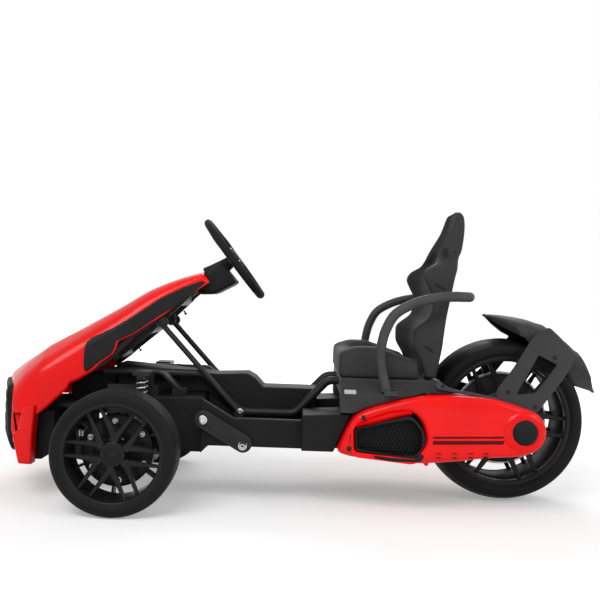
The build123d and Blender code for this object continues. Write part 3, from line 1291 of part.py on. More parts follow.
# Red covers of the drive, hollow towards the wheel, with the intake opening
cover_top = spots(COVER_SHARES, COVER_X, COVER_Z, COVER_LENGTH, COVER_HEIGHT)
cover_low = spots(COVER_LOW_SHARES, COVER_X, COVER_Z, COVER_LENGTH, COVER_HEIGHT)
intake_points = spots(INTAKE_SHARES, COVER_X, COVER_Z, COVER_LENGTH, COVER_HEIGHT)
for name, way in SIDES:
    with BuildPart() as rear_cover:
        with BuildSketch(side(way * COVER_IN)) as cover_side:
            Polygon(*cover_top, *cover_low, align=None)
            with Locations((COVER_END_X, COVER_END_Z)):
                Circle(COVER_END_R)
        extrude(amount=-way * (COVER_OUT - COVER_IN))
        chamfer(rear_cover.faces().sort_by(Axis.Y)[-1 if way > 0 else 0].edges(), COVER_ROUND)
        with BuildSketch(side(way * COVER_IN)):
            Polygon(*cover_top, *cover_low, align=None)
            with Locations((COVER_END_X, COVER_END_Z)):
                Circle(COVER_END_R)
            offset(amount=-COVER_WALL)
        extrude(amount=-way * (COVER_OUT - COVER_IN - COVER_WALL), mode=Mode.SUBTRACT)
        with BuildSketch(side(way * COVER_OUT)):
            Polygon(*intake_points, align=None)
        extrude(amount=way * (COVER_WALL + OVERRUN), both=True, mode=Mode.SUBTRACT)
        with BuildSketch(side(way * COVER_OUT)):
            with Locations((COVER_END_X, COVER_END_Z)):
                Circle(CAP_RAISED_R)
        extrude(amount=-way * CAP_RAISED_H, taper=CAP_ANGLE)
    rear_cover.part.label = "rear_cover_" + name
    export_step(rear_cover.part, "parts/rear_cover_" + name + ".step")

with BuildPart() as intake_grilles:
    for way in (-1, 1):
        with BuildSketch(side(way * (COVER_OUT - COVER_WALL))):
            Polygon(*intake_points, align=None)
        extrude(amount=-way * INTAKE_THICK)
intake_grilles.part.label = "intake_grilles"
export_step(intake_grilles.part, "parts/intake_grilles.step")

with BuildPart() as cover_caps:
    for way in (-1, 1):
        with BuildSketch(side(way * (COVER_OUT + CAP_RAISED_H))):
            with Locations((COVER_END_X, COVER_END_Z)):
                Circle(CAP_R)
        extrude(amount=-way * CAP_H)
cover_caps.part.label = "cover_caps"
export_step(cover_caps.part, "parts/cover_caps.step")

# Fender over the rear wheel: a channel, with skirts beside the tyre
fender_points = spots(FENDER_TOP_SHARES + FENDER_LOW_SHARES, FENDER_X, FENDER_Z, FENDER_LENGTH, FENDER_HEIGHT)
with BuildPart() as rear_fender:
    with BuildSketch(side()):
        Polygon(*fender_points, align=None)
    extrude(amount=FENDER_HALF, both=True)
    with BuildSketch(side()):
        with Locations((REAR_AXLE_X, REAR_AXLE_Z)):
            Circle(FENDER_INNER_R)
    extrude(amount=FENDER_HALF - FENDER_WALL, both=True, mode=Mode.SUBTRACT)
rear_fender.part.label = "rear_fender"
export_step(rear_fender.part, "parts/rear_fender.step")

# Brackets from the fender's skirts down and out to the covers
lean = asin((BRACKET_FOOT_Y - BRACKET_TOP_Y) / hypot(BRACKET_HEIGHT, BRACKET_FOOT_Y - BRACKET_TOP_Y))
bracket_high = BRACKET_HEIGHT / cos(lean)
for name, way in SIDES:
    bracket_plane = Plane(
        origin=(0, way * BRACKET_FOOT_Y, BRACKET_Z), x_dir=(1, 0, 0), z_dir=(0, -cos(lean), -way * sin(lean))
    )
    with BuildPart() as fender_bracket:
        with BuildSketch(bracket_plane):
            Polygon(*spots(BRACKET_SHARES, BRACKET_X, 0, BRACKET_LENGTH, bracket_high), align=None)
            Polygon(*spots(BRACKET_WINDOW_SHARES, BRACKET_X, 0, BRACKET_LENGTH, bracket_high), align=None,
                    mode=Mode.SUBTRACT)
        extrude(amount=-way * BRACKET_THICK)
        with BuildSketch(side(way * COVER_IN)):
            with Locations((BRACKET_FOOT_X, BRACKET_Z)):
                Rectangle(2 * BRACKET_FOOT_HALF, BRACKET_FOOT_H)
        extrude(amount=way * BRACKET_THICK)
        for along, up in BRACKET_WEB_SHARES:
            web_y = BRACKET_FOOT_Y - up * (BRACKET_FOOT_Y - BRACKET_TOP_Y) + BRACKET_THICK / 2
            with BuildSketch(side(way * BRACKET_TOP_Y)):
                with Locations((BRACKET_X + along * BRACKET_LENGTH, BRACKET_Z + up * BRACKET_HEIGHT)):
                    Rectangle(2 * BRACKET_WEB_HALF, 2 * BRACKET_WEB_HALF)
            extrude(amount=-way * (web_y - BRACKET_TOP_Y))
    fender_bracket.part.label = "fender_bracket_" + name
    export_step(fender_bracket.part, "parts/fender_bracket_" + name + ".step")

# Pedals on the ledge: brake on the left, accelerator on the right
for name, way in (("brake_pedal", -1), ("accelerator_pedal", 1)):
    with BuildPart() as pedal:
        with BuildSketch(Plane.XY.offset(LEDGE_TOP)):
            with Locations((PEDAL_X, way * PEDAL_Y)):
                Rectangle(PEDAL_FOOT_LONG, 2 * PEDAL_HALF)
        extrude(amount=PEDAL_FOOT)
        with BuildSketch(Plane.XZ.offset(-way * PEDAL_Y)):
            with BuildLine():
                Polyline(
                    (PEDAL_X + PEDAL_THICK, LEDGE_TOP + PEDAL_FOOT / 2),
                    (PEDAL_X + PEDAL_THICK - PEDAL_LONG * cos(radians(PEDAL_ANGLE)),
                     LEDGE_TOP + PEDAL_FOOT / 2 + PEDAL_LONG * sin(radians(PEDAL_ANGLE))),
                    (PEDAL_X - PEDAL_LONG * cos(radians(PEDAL_ANGLE)),
                     LEDGE_TOP + PEDAL_FOOT / 2 + PEDAL_LONG * sin(radians(PEDAL_ANGLE))),
                    (PEDAL_X, LEDGE_TOP + PEDAL_FOOT / 2),
                    close=True,
                )
            make_face()
        extrude(amount=PEDAL_HALF, both=True)
    pedal.part.label = name
    export_step(pedal.part, "parts/" + name + ".step")
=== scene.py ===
import json
from math import atan2, cos, hypot, pi, radians, sin, sqrt, tan

import bmesh
import bpy
from mathutils import Matrix, Vector
from mathutils.geometry import tessellate_polygon

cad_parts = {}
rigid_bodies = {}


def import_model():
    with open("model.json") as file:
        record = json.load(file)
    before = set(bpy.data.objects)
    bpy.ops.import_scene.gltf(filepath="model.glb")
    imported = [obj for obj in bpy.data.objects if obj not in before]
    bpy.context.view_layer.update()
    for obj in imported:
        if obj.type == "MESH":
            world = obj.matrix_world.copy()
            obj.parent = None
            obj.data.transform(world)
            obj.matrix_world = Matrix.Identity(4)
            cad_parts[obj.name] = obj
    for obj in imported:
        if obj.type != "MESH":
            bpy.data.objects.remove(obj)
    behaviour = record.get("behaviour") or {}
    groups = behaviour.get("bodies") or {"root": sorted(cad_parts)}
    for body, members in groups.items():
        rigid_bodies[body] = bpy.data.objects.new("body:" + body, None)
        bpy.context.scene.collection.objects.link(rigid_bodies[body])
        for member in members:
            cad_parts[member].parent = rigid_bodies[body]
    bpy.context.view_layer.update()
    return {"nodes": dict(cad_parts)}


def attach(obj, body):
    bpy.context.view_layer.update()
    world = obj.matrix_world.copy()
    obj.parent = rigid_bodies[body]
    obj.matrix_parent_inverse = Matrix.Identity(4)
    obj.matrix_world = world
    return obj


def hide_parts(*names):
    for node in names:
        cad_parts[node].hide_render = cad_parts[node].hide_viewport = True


for start_object in list(bpy.data.objects):
    bpy.data.objects.remove(start_object)
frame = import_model()

# Every length below is in millimetres, in the frame of the CAD: the kart's front is at -X,
# the driver's left at -Y and the ground at Z = 0. Meshes are made in metres from them.
MM = 0.001
SIDES = (("left", -1), ("right", 1))
MIRROR = Matrix.Scale(-1, 4, (0, 1, 0))

# An axle along Y is given by its X and Z
FRONT_AXLE = (-349.0, 120.0)
FRONT_WHEEL_Y = 256.0
REAR_AXLE = (442.5, 175.5)
REAR_R = 175.5
STEER_CENTRE = Vector((-157.0, 0.0, 506.5))
STEER_AXIS = Vector((cos(radians(38)), 0.0, sin(radians(38))))
# How far below the steering wheel's centre, along the column, the hood ends
HOOD_END = 70.0
# An outline in side view is drawn in shares of a box: its X and Z, its length and its height
HOOD_X, HOOD_LONG, HOOD_Z, HOOD_HIGH, HOOD_HALF = -640.0, 440.0, 175.0, 300.0, 185.0
HOOD_BOX = (HOOD_X, HOOD_Z, HOOD_LONG, HOOD_HIGH)
COVER_BOX = (73.0, 107.0, 412.0, 136.0)
COVER_IN, COVER_OUT = 146.0, 215.0
FENDER_BOX = (387.5, 239.0, 264.0, 166.0)
BACK_X, BACK_LONG, BACK_Z, BACK_HIGH, BACK_HALF = 220.0, 120.0, 267.6, 356.0, 162.0

# The hood from the nose to the boss: along, lower edge, top, half-width low, half-width high
HOOD_ROWS = (
    (0.00, 0.000, 0.205, 0.95, 0.60), (0.08, 0.000, 0.305, 0.98, 0.61), (0.25, 0.000, 0.460, 1.00, 0.56),
    (0.40, 0.190, 0.588, 0.88, 0.50), (0.565, 0.370, 0.735, 0.70, 0.43), (0.72, 0.590, 0.878, 0.56, 0.37),
    (0.885, 0.805, 0.975, 0.42, 0.32), (1.00, 0.930, 1.020, 0.34, 0.29),
)
# Upper and lower line of the black panel on the hood's side, in shares of the hood's box
PANEL_HIGH = (
    (0.444, 0.44), (0.449, 0.476), (0.464, 0.504), (0.493, 0.529), (0.56, 0.58), (0.633, 0.652), (0.717, 0.742),
    (0.763, 0.795), (0.868, 0.878), (0.955, 0.93), (0.968, 0.925),
)
PANEL_LOW = (
    (0.444, 0.34), (0.45, 0.29), (0.462, 0.284), (0.516, 0.358), (0.562, 0.408), (0.575, 0.458), (0.578, 0.49),
    (0.613, 0.518), (0.656, 0.551), (0.758, 0.665), (0.849, 0.757), (0.91, 0.833), (0.968, 0.912),
)
# Lower edge of the hood's skin, and of the black lining inside it, as places along the kart and heights
HOOD_EDGE = (
    (-525.0, 175.5), (-515.4, 181.4), (-502.2, 193.7), (-486.7, 209.8), (-473.4, 223.7), (-470.5, 233.0),
    (-466.0, 238.0), (-456.3, 240.5), (-435.0, 255.0), (-426.1, 261.5), (-413.0, 277.0), (-399.4, 288.0),
    (-387.5, 297.4), (-384.5, 312.0), (-383.5, 320.0), (-370.1, 327.5), (-351.5, 337.5), (-306.6, 370.5),
    (-266.5, 397.5), (-239.5, 419.5), (-212.1, 444.5), (-204.0, 452.0),
)
LINING_EDGE = (
    (-440.0, 248.0), (-426.0, 256.5), (-399.0, 280.5), (-385.4, 293.0), (-379.3, 300.0), (-357.5, 321.5),
    (-354.5, 329.0), (-306.4, 363.5), (-266.2, 391.0), (-222.6, 431.0),
)
# The seat back from the cushion to the head: up, wing front, rear face, half-width
BACK_ROWS = (
    (0.000, 0.26, 0.46, 0.97), (0.095, 0.17, 0.51, 0.99), (0.200, 0.02, 0.56, 1.00), (0.270, 0.02, 0.58, 0.99),
    (0.370, 0.31, 0.63, 0.94), (0.455, 0.36, 0.68, 0.92), (0.540, 0.25, 0.73, 0.90), (0.590, 0.19, 0.76, 0.89),
    (0.640, 0.26, 0.81, 0.83), (0.670, 0.42, 0.84, 0.73), (0.710, 0.48, 0.88, 0.60), (0.760, 0.54, 0.95, 0.54),
    (0.900, 0.76, 1.00, 0.48), (0.965, 0.82, 0.985, 0.42), (1.000, 0.85, 0.91, 0.34),
)


# ---------------------------------------------------------------- camera, light and floor

def set_camera():
    """Camera at the driver's left, level and turned 2 degrees, as the photograph was taken."""
    turn = radians(2)
    x, y, z = -0.0085, -1.8, 0.4204
    eye = bpy.data.objects.new("camera", bpy.data.cameras.new("camera"))
    bpy.context.scene.collection.objects.link(eye)
    eye.matrix_world = Matrix((
        (cos(turn), -sin(turn), 0, x), (0, 0, -1, y), (sin(turn), cos(turn), 0, z), (0, 0, 0, 1),
    ))
    half_picture, focal_length = 300, 810
    eye.data.sensor_fit = "HORIZONTAL"
    eye.data.angle = 2 * atan2(half_picture, focal_length)
    bpy.context.scene.camera = eye


def add_lamp(name, place, target, wide, high, watts):
    """Soft box lamp, turned to a target."""
    lamp = bpy.data.lights.new(name, "AREA")
    lamp.shape = "RECTANGLE"
    lamp.size, lamp.size_y, lamp.energy = wide, high, watts
    holder = bpy.data.objects.new(name, lamp)
    bpy.context.scene.collection.objects.link(holder)
    holder.location = place
    holder.rotation_euler = (Vector(target) - Vector(place)).to_track_quat("-Z", "Y").to_euler()


def math_node(tree, operation, one, two):
    """A value worked out from two others."""
    node = tree.nodes.new("ShaderNodeMath")
    node.operation = operation
    tree.links.new(one, node.inputs[0])
    tree.links.new(two, node.inputs[1])
    return node.outputs[0]


def bright_to_rays(tree, plain, bright):
    """Mix of two shaders: the bright one is what camera, glossy and transmission rays meet."""
    rays = tree.nodes.new("ShaderNodeLightPath").outputs
    seen = math_node(tree, "MAXIMUM", rays["Is Camera Ray"], rays["Is Glossy Ray"])
    seen = math_node(tree, "MAXIMUM", seen, rays["Is Transmission Ray"])
    mix = tree.nodes.new("ShaderNodeMixShader")
    tree.links.new(seen, mix.inputs[0])
    tree.links.new(plain, mix.inputs[1])
    tree.links.new(bright, mix.inputs[2])
    return mix.outputs[0]


def light_studio():
    """White surroundings, three soft boxes and a pale floor that keeps the kart's shadow."""
    world = bpy.data.worlds.new("studio")
    bpy.context.scene.world = world
    world.use_nodes = True
    tree = world.node_tree
    dim = tree.nodes["Background"]
    dim.inputs["Color"].default_value = (1, 1, 1, 1)
    dim.inputs["Strength"].default_value = 0.36
    white = tree.nodes.new("ShaderNodeBackground")
    white.inputs["Color"].default_value = (1, 1, 1, 1)
    white.inputs["Strength"].default_value = 1.0
    shown = bright_to_rays(tree, dim.outputs[0], white.outputs[0])
    tree.links.new(shown, tree.nodes["World Output"].inputs["Surface"])
    add_lamp("key_lamp", (-0.9, -2.3, 2.3), (0, 0, 0.25), wide=1.8, high=1.2, watts=46)
    add_lamp("fill_lamp", (1.9, -1.7, 1.3), (0.1, 0, 0.25), wide=1.4, high=1.2, watts=16)
    add_lamp("back_lamp", (0.4, 2.2, 2.0), (0, 0, 0.25), wide=1.8, high=1.2, watts=26)

    floor_mesh = bpy.data.meshes.new("floor")
    reach = 9.0
    floor_mesh.from_pydata([(-reach, -reach, 0), (reach, -reach, 0), (reach, reach, 0), (-reach, reach, 0)], [],
                           [(0, 1, 2, 3)])
    floor = bpy.data.objects.new("floor", floor_mesh)
    bpy.context.scene.collection.objects.link(floor)
    paper = bpy.data.materials.new("floor_paper")
    paper.use_nodes = True
    tree = paper.node_tree
    sheet = tree.nodes["Principled BSDF"]
    sheet.inputs["Base Color"].default_value = (0.9, 0.9, 0.9, 1)
    sheet.inputs["Roughness"].default_value = 0.9
    glow = tree.nodes.new("ShaderNodeEmission")
    reading = texture(paper, "ShaderNodeTexGradient", 1.0, stretch=(0.28, 0.28, 0.28))
    reading.node.gradient_type = "SPHERICAL"
    tree.links.new(ranged(paper, reading, 1.0, 0.3, 0.0, 0.72), glow.inputs["Strength"])
    both = tree.nodes.new("ShaderNodeAddShader")
    tree.links.new(sheet.outputs[0], both.inputs[0])
    tree.links.new(glow.outputs[0], both.inputs[1])
    shown = bright_to_rays(tree, sheet.outputs[0], both.outputs[0])
    tree.links.new(shown, tree.nodes["Material Output"].inputs["Surface"])
    floor_mesh.materials.append(paper)
    bpy.context.scene.view_settings.view_transform = "Standard"


# ---------------------------------------------------------------- finishes

def finish(name, colour, roughness, metallic=0.0, coat=0.0, coat_roughness=0.1, specular=0.5):
    """A new finish with what is the same all over it set on the shader."""
    material = bpy.data.materials.new(name)
    material.use_nodes = True
    shader = material.node_tree.nodes["Principled BSDF"]
    shader.inputs["Base Color"].default_value = (*colour, 1)
    shader.inputs["Roughness"].default_value = roughness
    shader.inputs["Metallic"].default_value = metallic
    shader.inputs["Coat Weight"].default_value = coat
    shader.inputs["Coat Roughness"].default_value = coat_roughness
    shader.inputs["Specular IOR Level"].default_value = specular
    return material


def texture(material, kind, scale, stretch=(1, 1, 1), **inputs):
    """Pattern on Object coordinates, stretched along the axes where a finish was drawn or brushed."""
    tree = material.node_tree
    place = tree.nodes.new("ShaderNodeTexCoord")
    laid = tree.nodes.new("ShaderNodeMapping")
    laid.inputs["Scale"].default_value = stretch
    grain = tree.nodes.new(kind)
    tree.links.new(place.outputs["Object"], laid.inputs["Vector"])
    tree.links.new(laid.outputs["Vector"], grain.inputs["Vector"])
    if "Scale" in grain.inputs:
        grain.inputs["Scale"].default_value = scale
    for socket, value in inputs.items():
        grain.inputs[socket].default_value = value
    return grain.outputs["Fac"] if "Fac" in grain.outputs else grain.outputs[0]


def ranged(material, value, low, high, from_low, from_high):
    """A pattern's values, spread from one range over another."""
    spread = material.node_tree.nodes.new("ShaderNodeMapRange")
    material.node_tree.links.new(value, spread.inputs["Value"])
    spread.inputs["From Min"].default_value = from_low
    spread.inputs["From Max"].default_value = from_high
    spread.inputs["To Min"].default_value = low
    spread.inputs["To Max"].default_value = high
    return spread.outputs["Result"]


def tinted(material, value, first, second, over=None):
    """Mix of two colours by a pattern, laid over what the finish already has where that is given."""
    tree = material.node_tree
    mix = tree.nodes.new("ShaderNodeMix")
    mix.data_type = "RGBA"
    tree.links.new(value, mix.inputs[0])
    mix.inputs[6].default_value = (*first, 1)
    if over is not None:
        tree.links.new(over, mix.inputs[6])
    mix.inputs[7].default_value = (*second, 1)
    return mix.outputs[2]


def relief(material, value, depth, strength, before=None):
    """Bumps from a pattern, in millimetres, on top of an earlier relief where that is given."""
    tree = material.node_tree
    bump = tree.nodes.new("ShaderNodeBump")
    bump.inputs["Distance"].default_value = depth * MM
    bump.inputs["Strength"].default_value = strength
    tree.links.new(value, bump.inputs["Height"])
    if before is not None:
        tree.links.new(before, bump.inputs["Normal"])
    return bump.outputs["Normal"]


def connect(material, colour, roughness, normal, coat_normal=None):
    """Patterns to the shader's sockets."""
    tree = material.node_tree
    shader = tree.nodes["Principled BSDF"]
    for socket, value in (("Base Color", colour), ("Roughness", roughness), ("Normal", normal),
                          ("Coat Normal", coat_normal)):
        if value is not None:
            tree.links.new(value, shader.inputs[socket])
    return material


def worn_edges(material, amount):
    """Pattern that is strongest on edges that stick out, where hands and knocks polish a part."""
    shape = material.node_tree.nodes.new("ShaderNodeNewGeometry")
    return ranged(material, shape.outputs["Pointiness"], 0.0, amount, 0.53, 0.62)


def shade_of(colour, times, more=0.0):
    """A colour made lighter or darker."""
    return tuple(min(1.0, channel * times + more) for channel in colour)


def glossy_shell(name, colour):
    """Injection-moulded glossy shell: orange peel under a clear top, with faint cloudiness."""
    paint = finish(name, colour, 0.32, coat=0.22, coat_roughness=0.07, specular=0.14)
    cloud = texture(paint, "ShaderNodeTexNoise", 7.0, Detail=4.0, Roughness=0.6)
    shade = tinted(paint, ranged(paint, cloud, 0, 1, 0.35, 0.65), shade_of(colour, 0.86), colour)
    peel = texture(paint, "ShaderNodeTexNoise", 260.0, Detail=2.0)
    wave = texture(paint, "ShaderNodeTexNoise", 22.0, Detail=1.0)
    smear = texture(paint, "ShaderNodeTexNoise", 34.0, stretch=(0.3, 1, 1.6), Detail=5.0, Roughness=0.7)
    skin = relief(paint, wave, 0.5, 0.12)
    return connect(paint, shade, ranged(paint, smear, 0.24, 0.4, 0.3, 0.7), relief(paint, peel, 0.06, 0.25, skin),
                   relief(paint, wave, 0.3, 0.1))


def grained_plastic(name, colour, roughness, grain=900.0, depth=0.12, mottle=0.25, worn=0.35):
    """Moulded plastic with a fine leather-like grain, mottled and a little lighter along worn edges."""
    plastic = finish(name, colour, roughness, specular=0.14)
    cloud = texture(plastic, "ShaderNodeTexNoise", 14.0, Detail=6.0, Roughness=0.65)
    light, dark = shade_of(colour, 1 + mottle, 0.0008), shade_of(colour, 1 - mottle)
    shade = tinted(plastic, ranged(plastic, cloud, 0, 1, 0.3, 0.7), dark, light)
    shade = tinted(plastic, worn_edges(plastic, worn), dark, shade_of(colour, 1.8, 0.006), shade)
    cells = texture(plastic, "ShaderNodeTexVoronoi", grain)
    pores = texture(plastic, "ShaderNodeTexNoise", grain * 0.45, Detail=3.0)
    skin = relief(plastic, cells, depth, 0.5)
    rough = ranged(plastic, cloud, roughness - 0.07, roughness + 0.08, 0.3, 0.7)
    return connect(plastic, shade, rough, relief(plastic, pores, depth * 0.6, 0.4, skin))


def tyre_rubber(name, colour):
    """Moulded rubber or hollow plastic tyre: satin, dusty in patches, with fine mould marks."""
    rubber = finish(name, colour, 0.62, specular=0.14)
    dust = texture(rubber, "ShaderNodeTexNoise", 18.0, Detail=8.0, Roughness=0.7)
    shade = tinted(rubber, ranged(rubber, dust, 0, 1, 0.42, 0.72), colour, shade_of(colour, 1.0, 0.006))
    shade = tinted(rubber, worn_edges(rubber, 0.5), colour, shade_of(colour, 1.5, 0.008), shade)
    pores = texture(rubber, "ShaderNodeTexNoise", 420.0, Detail=4.0, Roughness=0.6)
    lumps = texture(rubber, "ShaderNodeTexNoise", 60.0, Detail=2.0)
    skin = relief(rubber, lumps, 0.25, 0.3)
    rough = ranged(rubber, dust, 0.5, 0.74, 0.35, 0.7)
    return connect(rubber, shade, rough, relief(rubber, pores, 0.12, 0.5, skin))


def plated_steel(name, colour, roughness):
    """Zinc-plated steel with turning marks and faint blotches."""
    metal = finish(name, colour, roughness, metallic=1.0)
    blotch = texture(metal, "ShaderNodeTexNoise", 60.0, Detail=5.0, Roughness=0.6)
    shade = tinted(metal, ranged(metal, blotch, 0, 1, 0.35, 0.68), shade_of(colour, 0.72), colour)
    marks = texture(metal, "ShaderNodeTexNoise", 240.0, stretch=(1, 8, 1), Detail=3.0)
    rough = ranged(metal, marks, roughness - 0.08, roughness + 0.14, 0.3, 0.7)
    return connect(metal, shade, rough, relief(metal, marks, 0.05, 0.3))


def coated_steel(name, colour, roughness):
    """Powder-coated steel: a fine pebbled skin, lighter where it is rubbed along edges."""
    coat = finish(name, colour, roughness, coat=0.05, coat_roughness=0.25, specular=0.18)
    pebble = texture(coat, "ShaderNodeTexNoise", 520.0, Detail=2.0)
    cloud = texture(coat, "ShaderNodeTexNoise", 24.0, Detail=5.0)
    shade = tinted(coat, ranged(coat, cloud, 0, 1, 0.35, 0.7), colour, shade_of(colour, 1.35, 0.004))
    shade = tinted(coat, worn_edges(coat, 0.4), colour, shade_of(colour, 1.8, 0.01), shade)
    rough = ranged(coat, cloud, roughness - 0.06, roughness + 0.08, 0.3, 0.7)
    return connect(coat, shade, rough, relief(coat, pebble, 0.08, 0.45))


RED = glossy_shell("red_shell", (0.93, 0.0008, 0.0008))
BLACK = grained_plastic("black_moulding", (0.0075, 0.0075, 0.0080), 0.55)
PANEL = grained_plastic("side_panel_satin", (0.0105, 0.0105, 0.0115), 0.42, grain=1300.0, depth=0.06, mottle=0.15)
SEAT = grained_plastic("seat_moulding", (0.031, 0.031, 0.032), 0.62,
                       grain=620.0, depth=0.16, mottle=0.12, worn=0.25)
FENDER = grained_plastic("fender_moulding", (0.038, 0.038, 0.039), 0.5,
                         grain=760.0, depth=0.1, mottle=0.1, worn=0.25)
GRIP = grained_plastic("grip_foam", (0.010, 0.010, 0.011), 0.75,
                       grain=420.0, depth=0.28, mottle=0.3, worn=0.15)
RIM = grained_plastic("rim_satin", (0.010, 0.010, 0.0105), 0.3,
                      grain=1500.0, depth=0.04, mottle=0.12, worn=0.5)
RUBBER = tyre_rubber("tyre_rubber", (0.0062, 0.0062, 0.0066))
CASE = grained_plastic("battery_case", (0.06, 0.061, 0.064), 0.5)
STEEL = coated_steel("black_coated_steel", (0.013, 0.013, 0.0135), 0.42)
HOOP = coated_steel("hoop_coated_steel", (0.042, 0.042, 0.043), 0.45)
SPRING = plated_steel("spring_steel", (0.5, 0.5, 0.51), 0.3)
BOLT = plated_steel("bolt_zinc", (0.62, 0.62, 0.63), 0.26)
LABEL = grained_plastic("blank_label", (0.5, 0.5, 0.49), 0.6,
                        grain=2000.0, depth=0.02, mottle=0.04, worn=0.0)
STRIPE = grained_plastic("cover_stripe", (0.075, 0.0012, 0.0018), 0.45,
                         grain=2000.0, depth=0.02, mottle=0.1, worn=0.0)


# ---------------------------------------------------------------- forms

def eased(rows, at):
    """The values of a table at a place, eased from row to row without overshoot."""
    keys = [row[0] for row in rows]
    at = min(max(at, keys[0]), keys[-1])
    i = max(k for k in range(len(rows) - 1) if keys[k] <= at)
    step = keys[i + 1] - keys[i]
    t = (at - keys[i]) / step

    def slope(column, k):
        """How fast a column changes at a row."""
        if k in (0, len(rows) - 1):
            near = 0 if k == 0 else k - 1
            return (rows[near + 1][column] - rows[near][column]) / (keys[near + 1] - keys[near])
        before = (rows[k][column] - rows[k - 1][column]) / (keys[k] - keys[k - 1])
        after = (rows[k + 1][column] - rows[k][column]) / (keys[k + 1] - keys[k])
        return 0.0 if before * after <= 0 else 2 * before * after / (before + after)

    values = []
    for column in range(1, len(rows[0])):
        low, high = rows[i][column], rows[i + 1][column]
        values.append(
            (2 * t**3 - 3 * t**2 + 1) * low + (t**3 - 2 * t**2 + t) * step * slope(column, i)
            + (3 * t**2 - 2 * t**3) * high + (t**3 - t**2) * step * slope(column, i + 1)
        )
    return values


def rounded(points, radius, steps, closed):
    """Outline or path with each corner turned into a short curve."""
    points = [Vector(point) for point in points]
    out = []
    for i, corner in enumerate(points):
        cut = radius[i] if isinstance(radius, (list, tuple)) else radius
        if (not closed and i in (0, len(points) - 1)) or cut <= 0:
            out.append(corner)
            continue
        back, ahead = points[i - 1] - corner, points[(i + 1) % len(points)] - corner
        cut = min(cut, back.length * 0.48, ahead.length * 0.48)
        start, end = corner + back.normalized() * cut, corner + ahead.normalized() * cut
        for step in range(steps + 1):
            t = step / steps
            out.append(start * (1 - t)**2 + corner * 2 * t * (1 - t) + end * t**2)
    return out


def outline(shares, x, z, long, high):
    """Points of a side outline, from shares of a length and height."""
    return [(x + along * long, z + up * high) for along, up in shares]


def soft_line(points, radius, steps=5, closed=True):
    """A rounded outline as plain pairs."""
    return [(point.x, point.y) for point in rounded(points, radius, steps, closed)]


def whole(half):
    """A row of points from one side to the middle, with its mirror image up to the other side."""
    return half + [(x, -y, z) for x, y, z in half[-2::-1]]


def mesh_of(verts, faces):
    """Mesh in metres from millimetres, doubles merged and faces turned outwards."""
    mesh = bpy.data.meshes.new("form")
    mesh.from_pydata([Vector(vert) * MM for vert in verts], [], faces)
    work = bmesh.new()
    work.from_mesh(mesh)
    bmesh.ops.remove_doubles(work, verts=work.verts, dist=0.02 * MM)
    bmesh.ops.dissolve_degenerate(work, edges=work.edges, dist=0.01 * MM)
    bmesh.ops.recalc_face_normals(work, faces=work.faces)
    work.to_mesh(mesh)
    work.free()
    return mesh


def lofted(rings, closed=True, capped=True, looped=False):
    """Skin over rings of points.

    closed joins the ends of each ring, capped covers the first and the last ring, and looped joins
    the last ring to the first.
    """
    wide = len(rings[0])
    verts = [point for one in rings for point in one]
    faces = []
    for i in range(len(rings) if looped else len(rings) - 1):
        a, b = i * wide, ((i + 1) % len(rings)) * wide
        for j in range(wide if closed else wide - 1):
            k = (j + 1) % wide
            faces.append((a + j, a + k, b + k, b + j))
    if capped and closed and not looped:
        faces.append(tuple(range(wide)))
        faces.append(tuple((len(rings) - 1) * wide + j for j in range(wide)))
    return mesh_of(verts, faces)


def spun(profile, centre, middle, way, steps):
    """Closed profile of (distance outwards, radius), turned round an axle along Y."""
    rings = []
    for i in range(steps):
        angle = 2 * pi * i / steps
        rings.append([(centre[0] + radius * cos(angle), middle + way * out, centre[1] + radius * sin(angle))
                      for out, radius in profile])
    return lofted(rings, looped=True)


def block(corners):
    """Block from the four corners of one face and the four of the face across from it."""
    return mesh_of(corners, [(0, 1, 2, 3), (4, 5, 6, 7), (0, 1, 5, 4), (1, 2, 6, 5), (2, 3, 7, 6), (3, 0, 4, 7)])


def tube(path, radius, sides):
    """Round tube along a path."""
    path = [Vector(point) for point in path]
    ahead = [(path[min(i + 1, len(path) - 1)] - path[max(i - 1, 0)]).normalized() for i in range(len(path))]
    across = ahead[0].orthogonal().normalized()
    rings = []
    for point, way in zip(path, ahead):
        across = (across - way * across.dot(way)).normalized()
        other = way.cross(across)
        rings.append([point + (across * cos(2 * pi * j / sides) + other * sin(2 * pi * j / sides)) * radius
                      for j in range(sides)])
    return lofted(rings)


def shifted(line, inset):
    """Outline moved by a distance: to its inside if it runs counter-clockwise, to its outside if clockwise."""
    out = []
    for i, (x, z) in enumerate(line):
        before = Vector((x - line[i - 1][0], z - line[i - 1][1]))
        after = Vector((line[(i + 1) % len(line)][0] - x, line[(i + 1) % len(line)][1] - z))
        before, after = before.normalized(), after.normalized()
        aside = Vector((-before.y - after.y, before.x + after.x))
        if aside.length < 0.2:
            aside = Vector((-after.y, after.x))
        aside.normalize()
        mitre = max(0.6, aside.dot(Vector((-after.y, after.x))))
        out.append((x + aside.x * inset / mitre, z + aside.y * inset / mitre))
    return out


def turned_left(line, left=True):
    """The outline running counter-clockwise, or clockwise for a hole."""
    ends = zip(line, line[1:] + line[:1])
    area = sum(x_one * z_two - x_two * z_one for (x_one, z_one), (x_two, z_two) in ends)
    return line if (area > 0) == left else line[::-1]


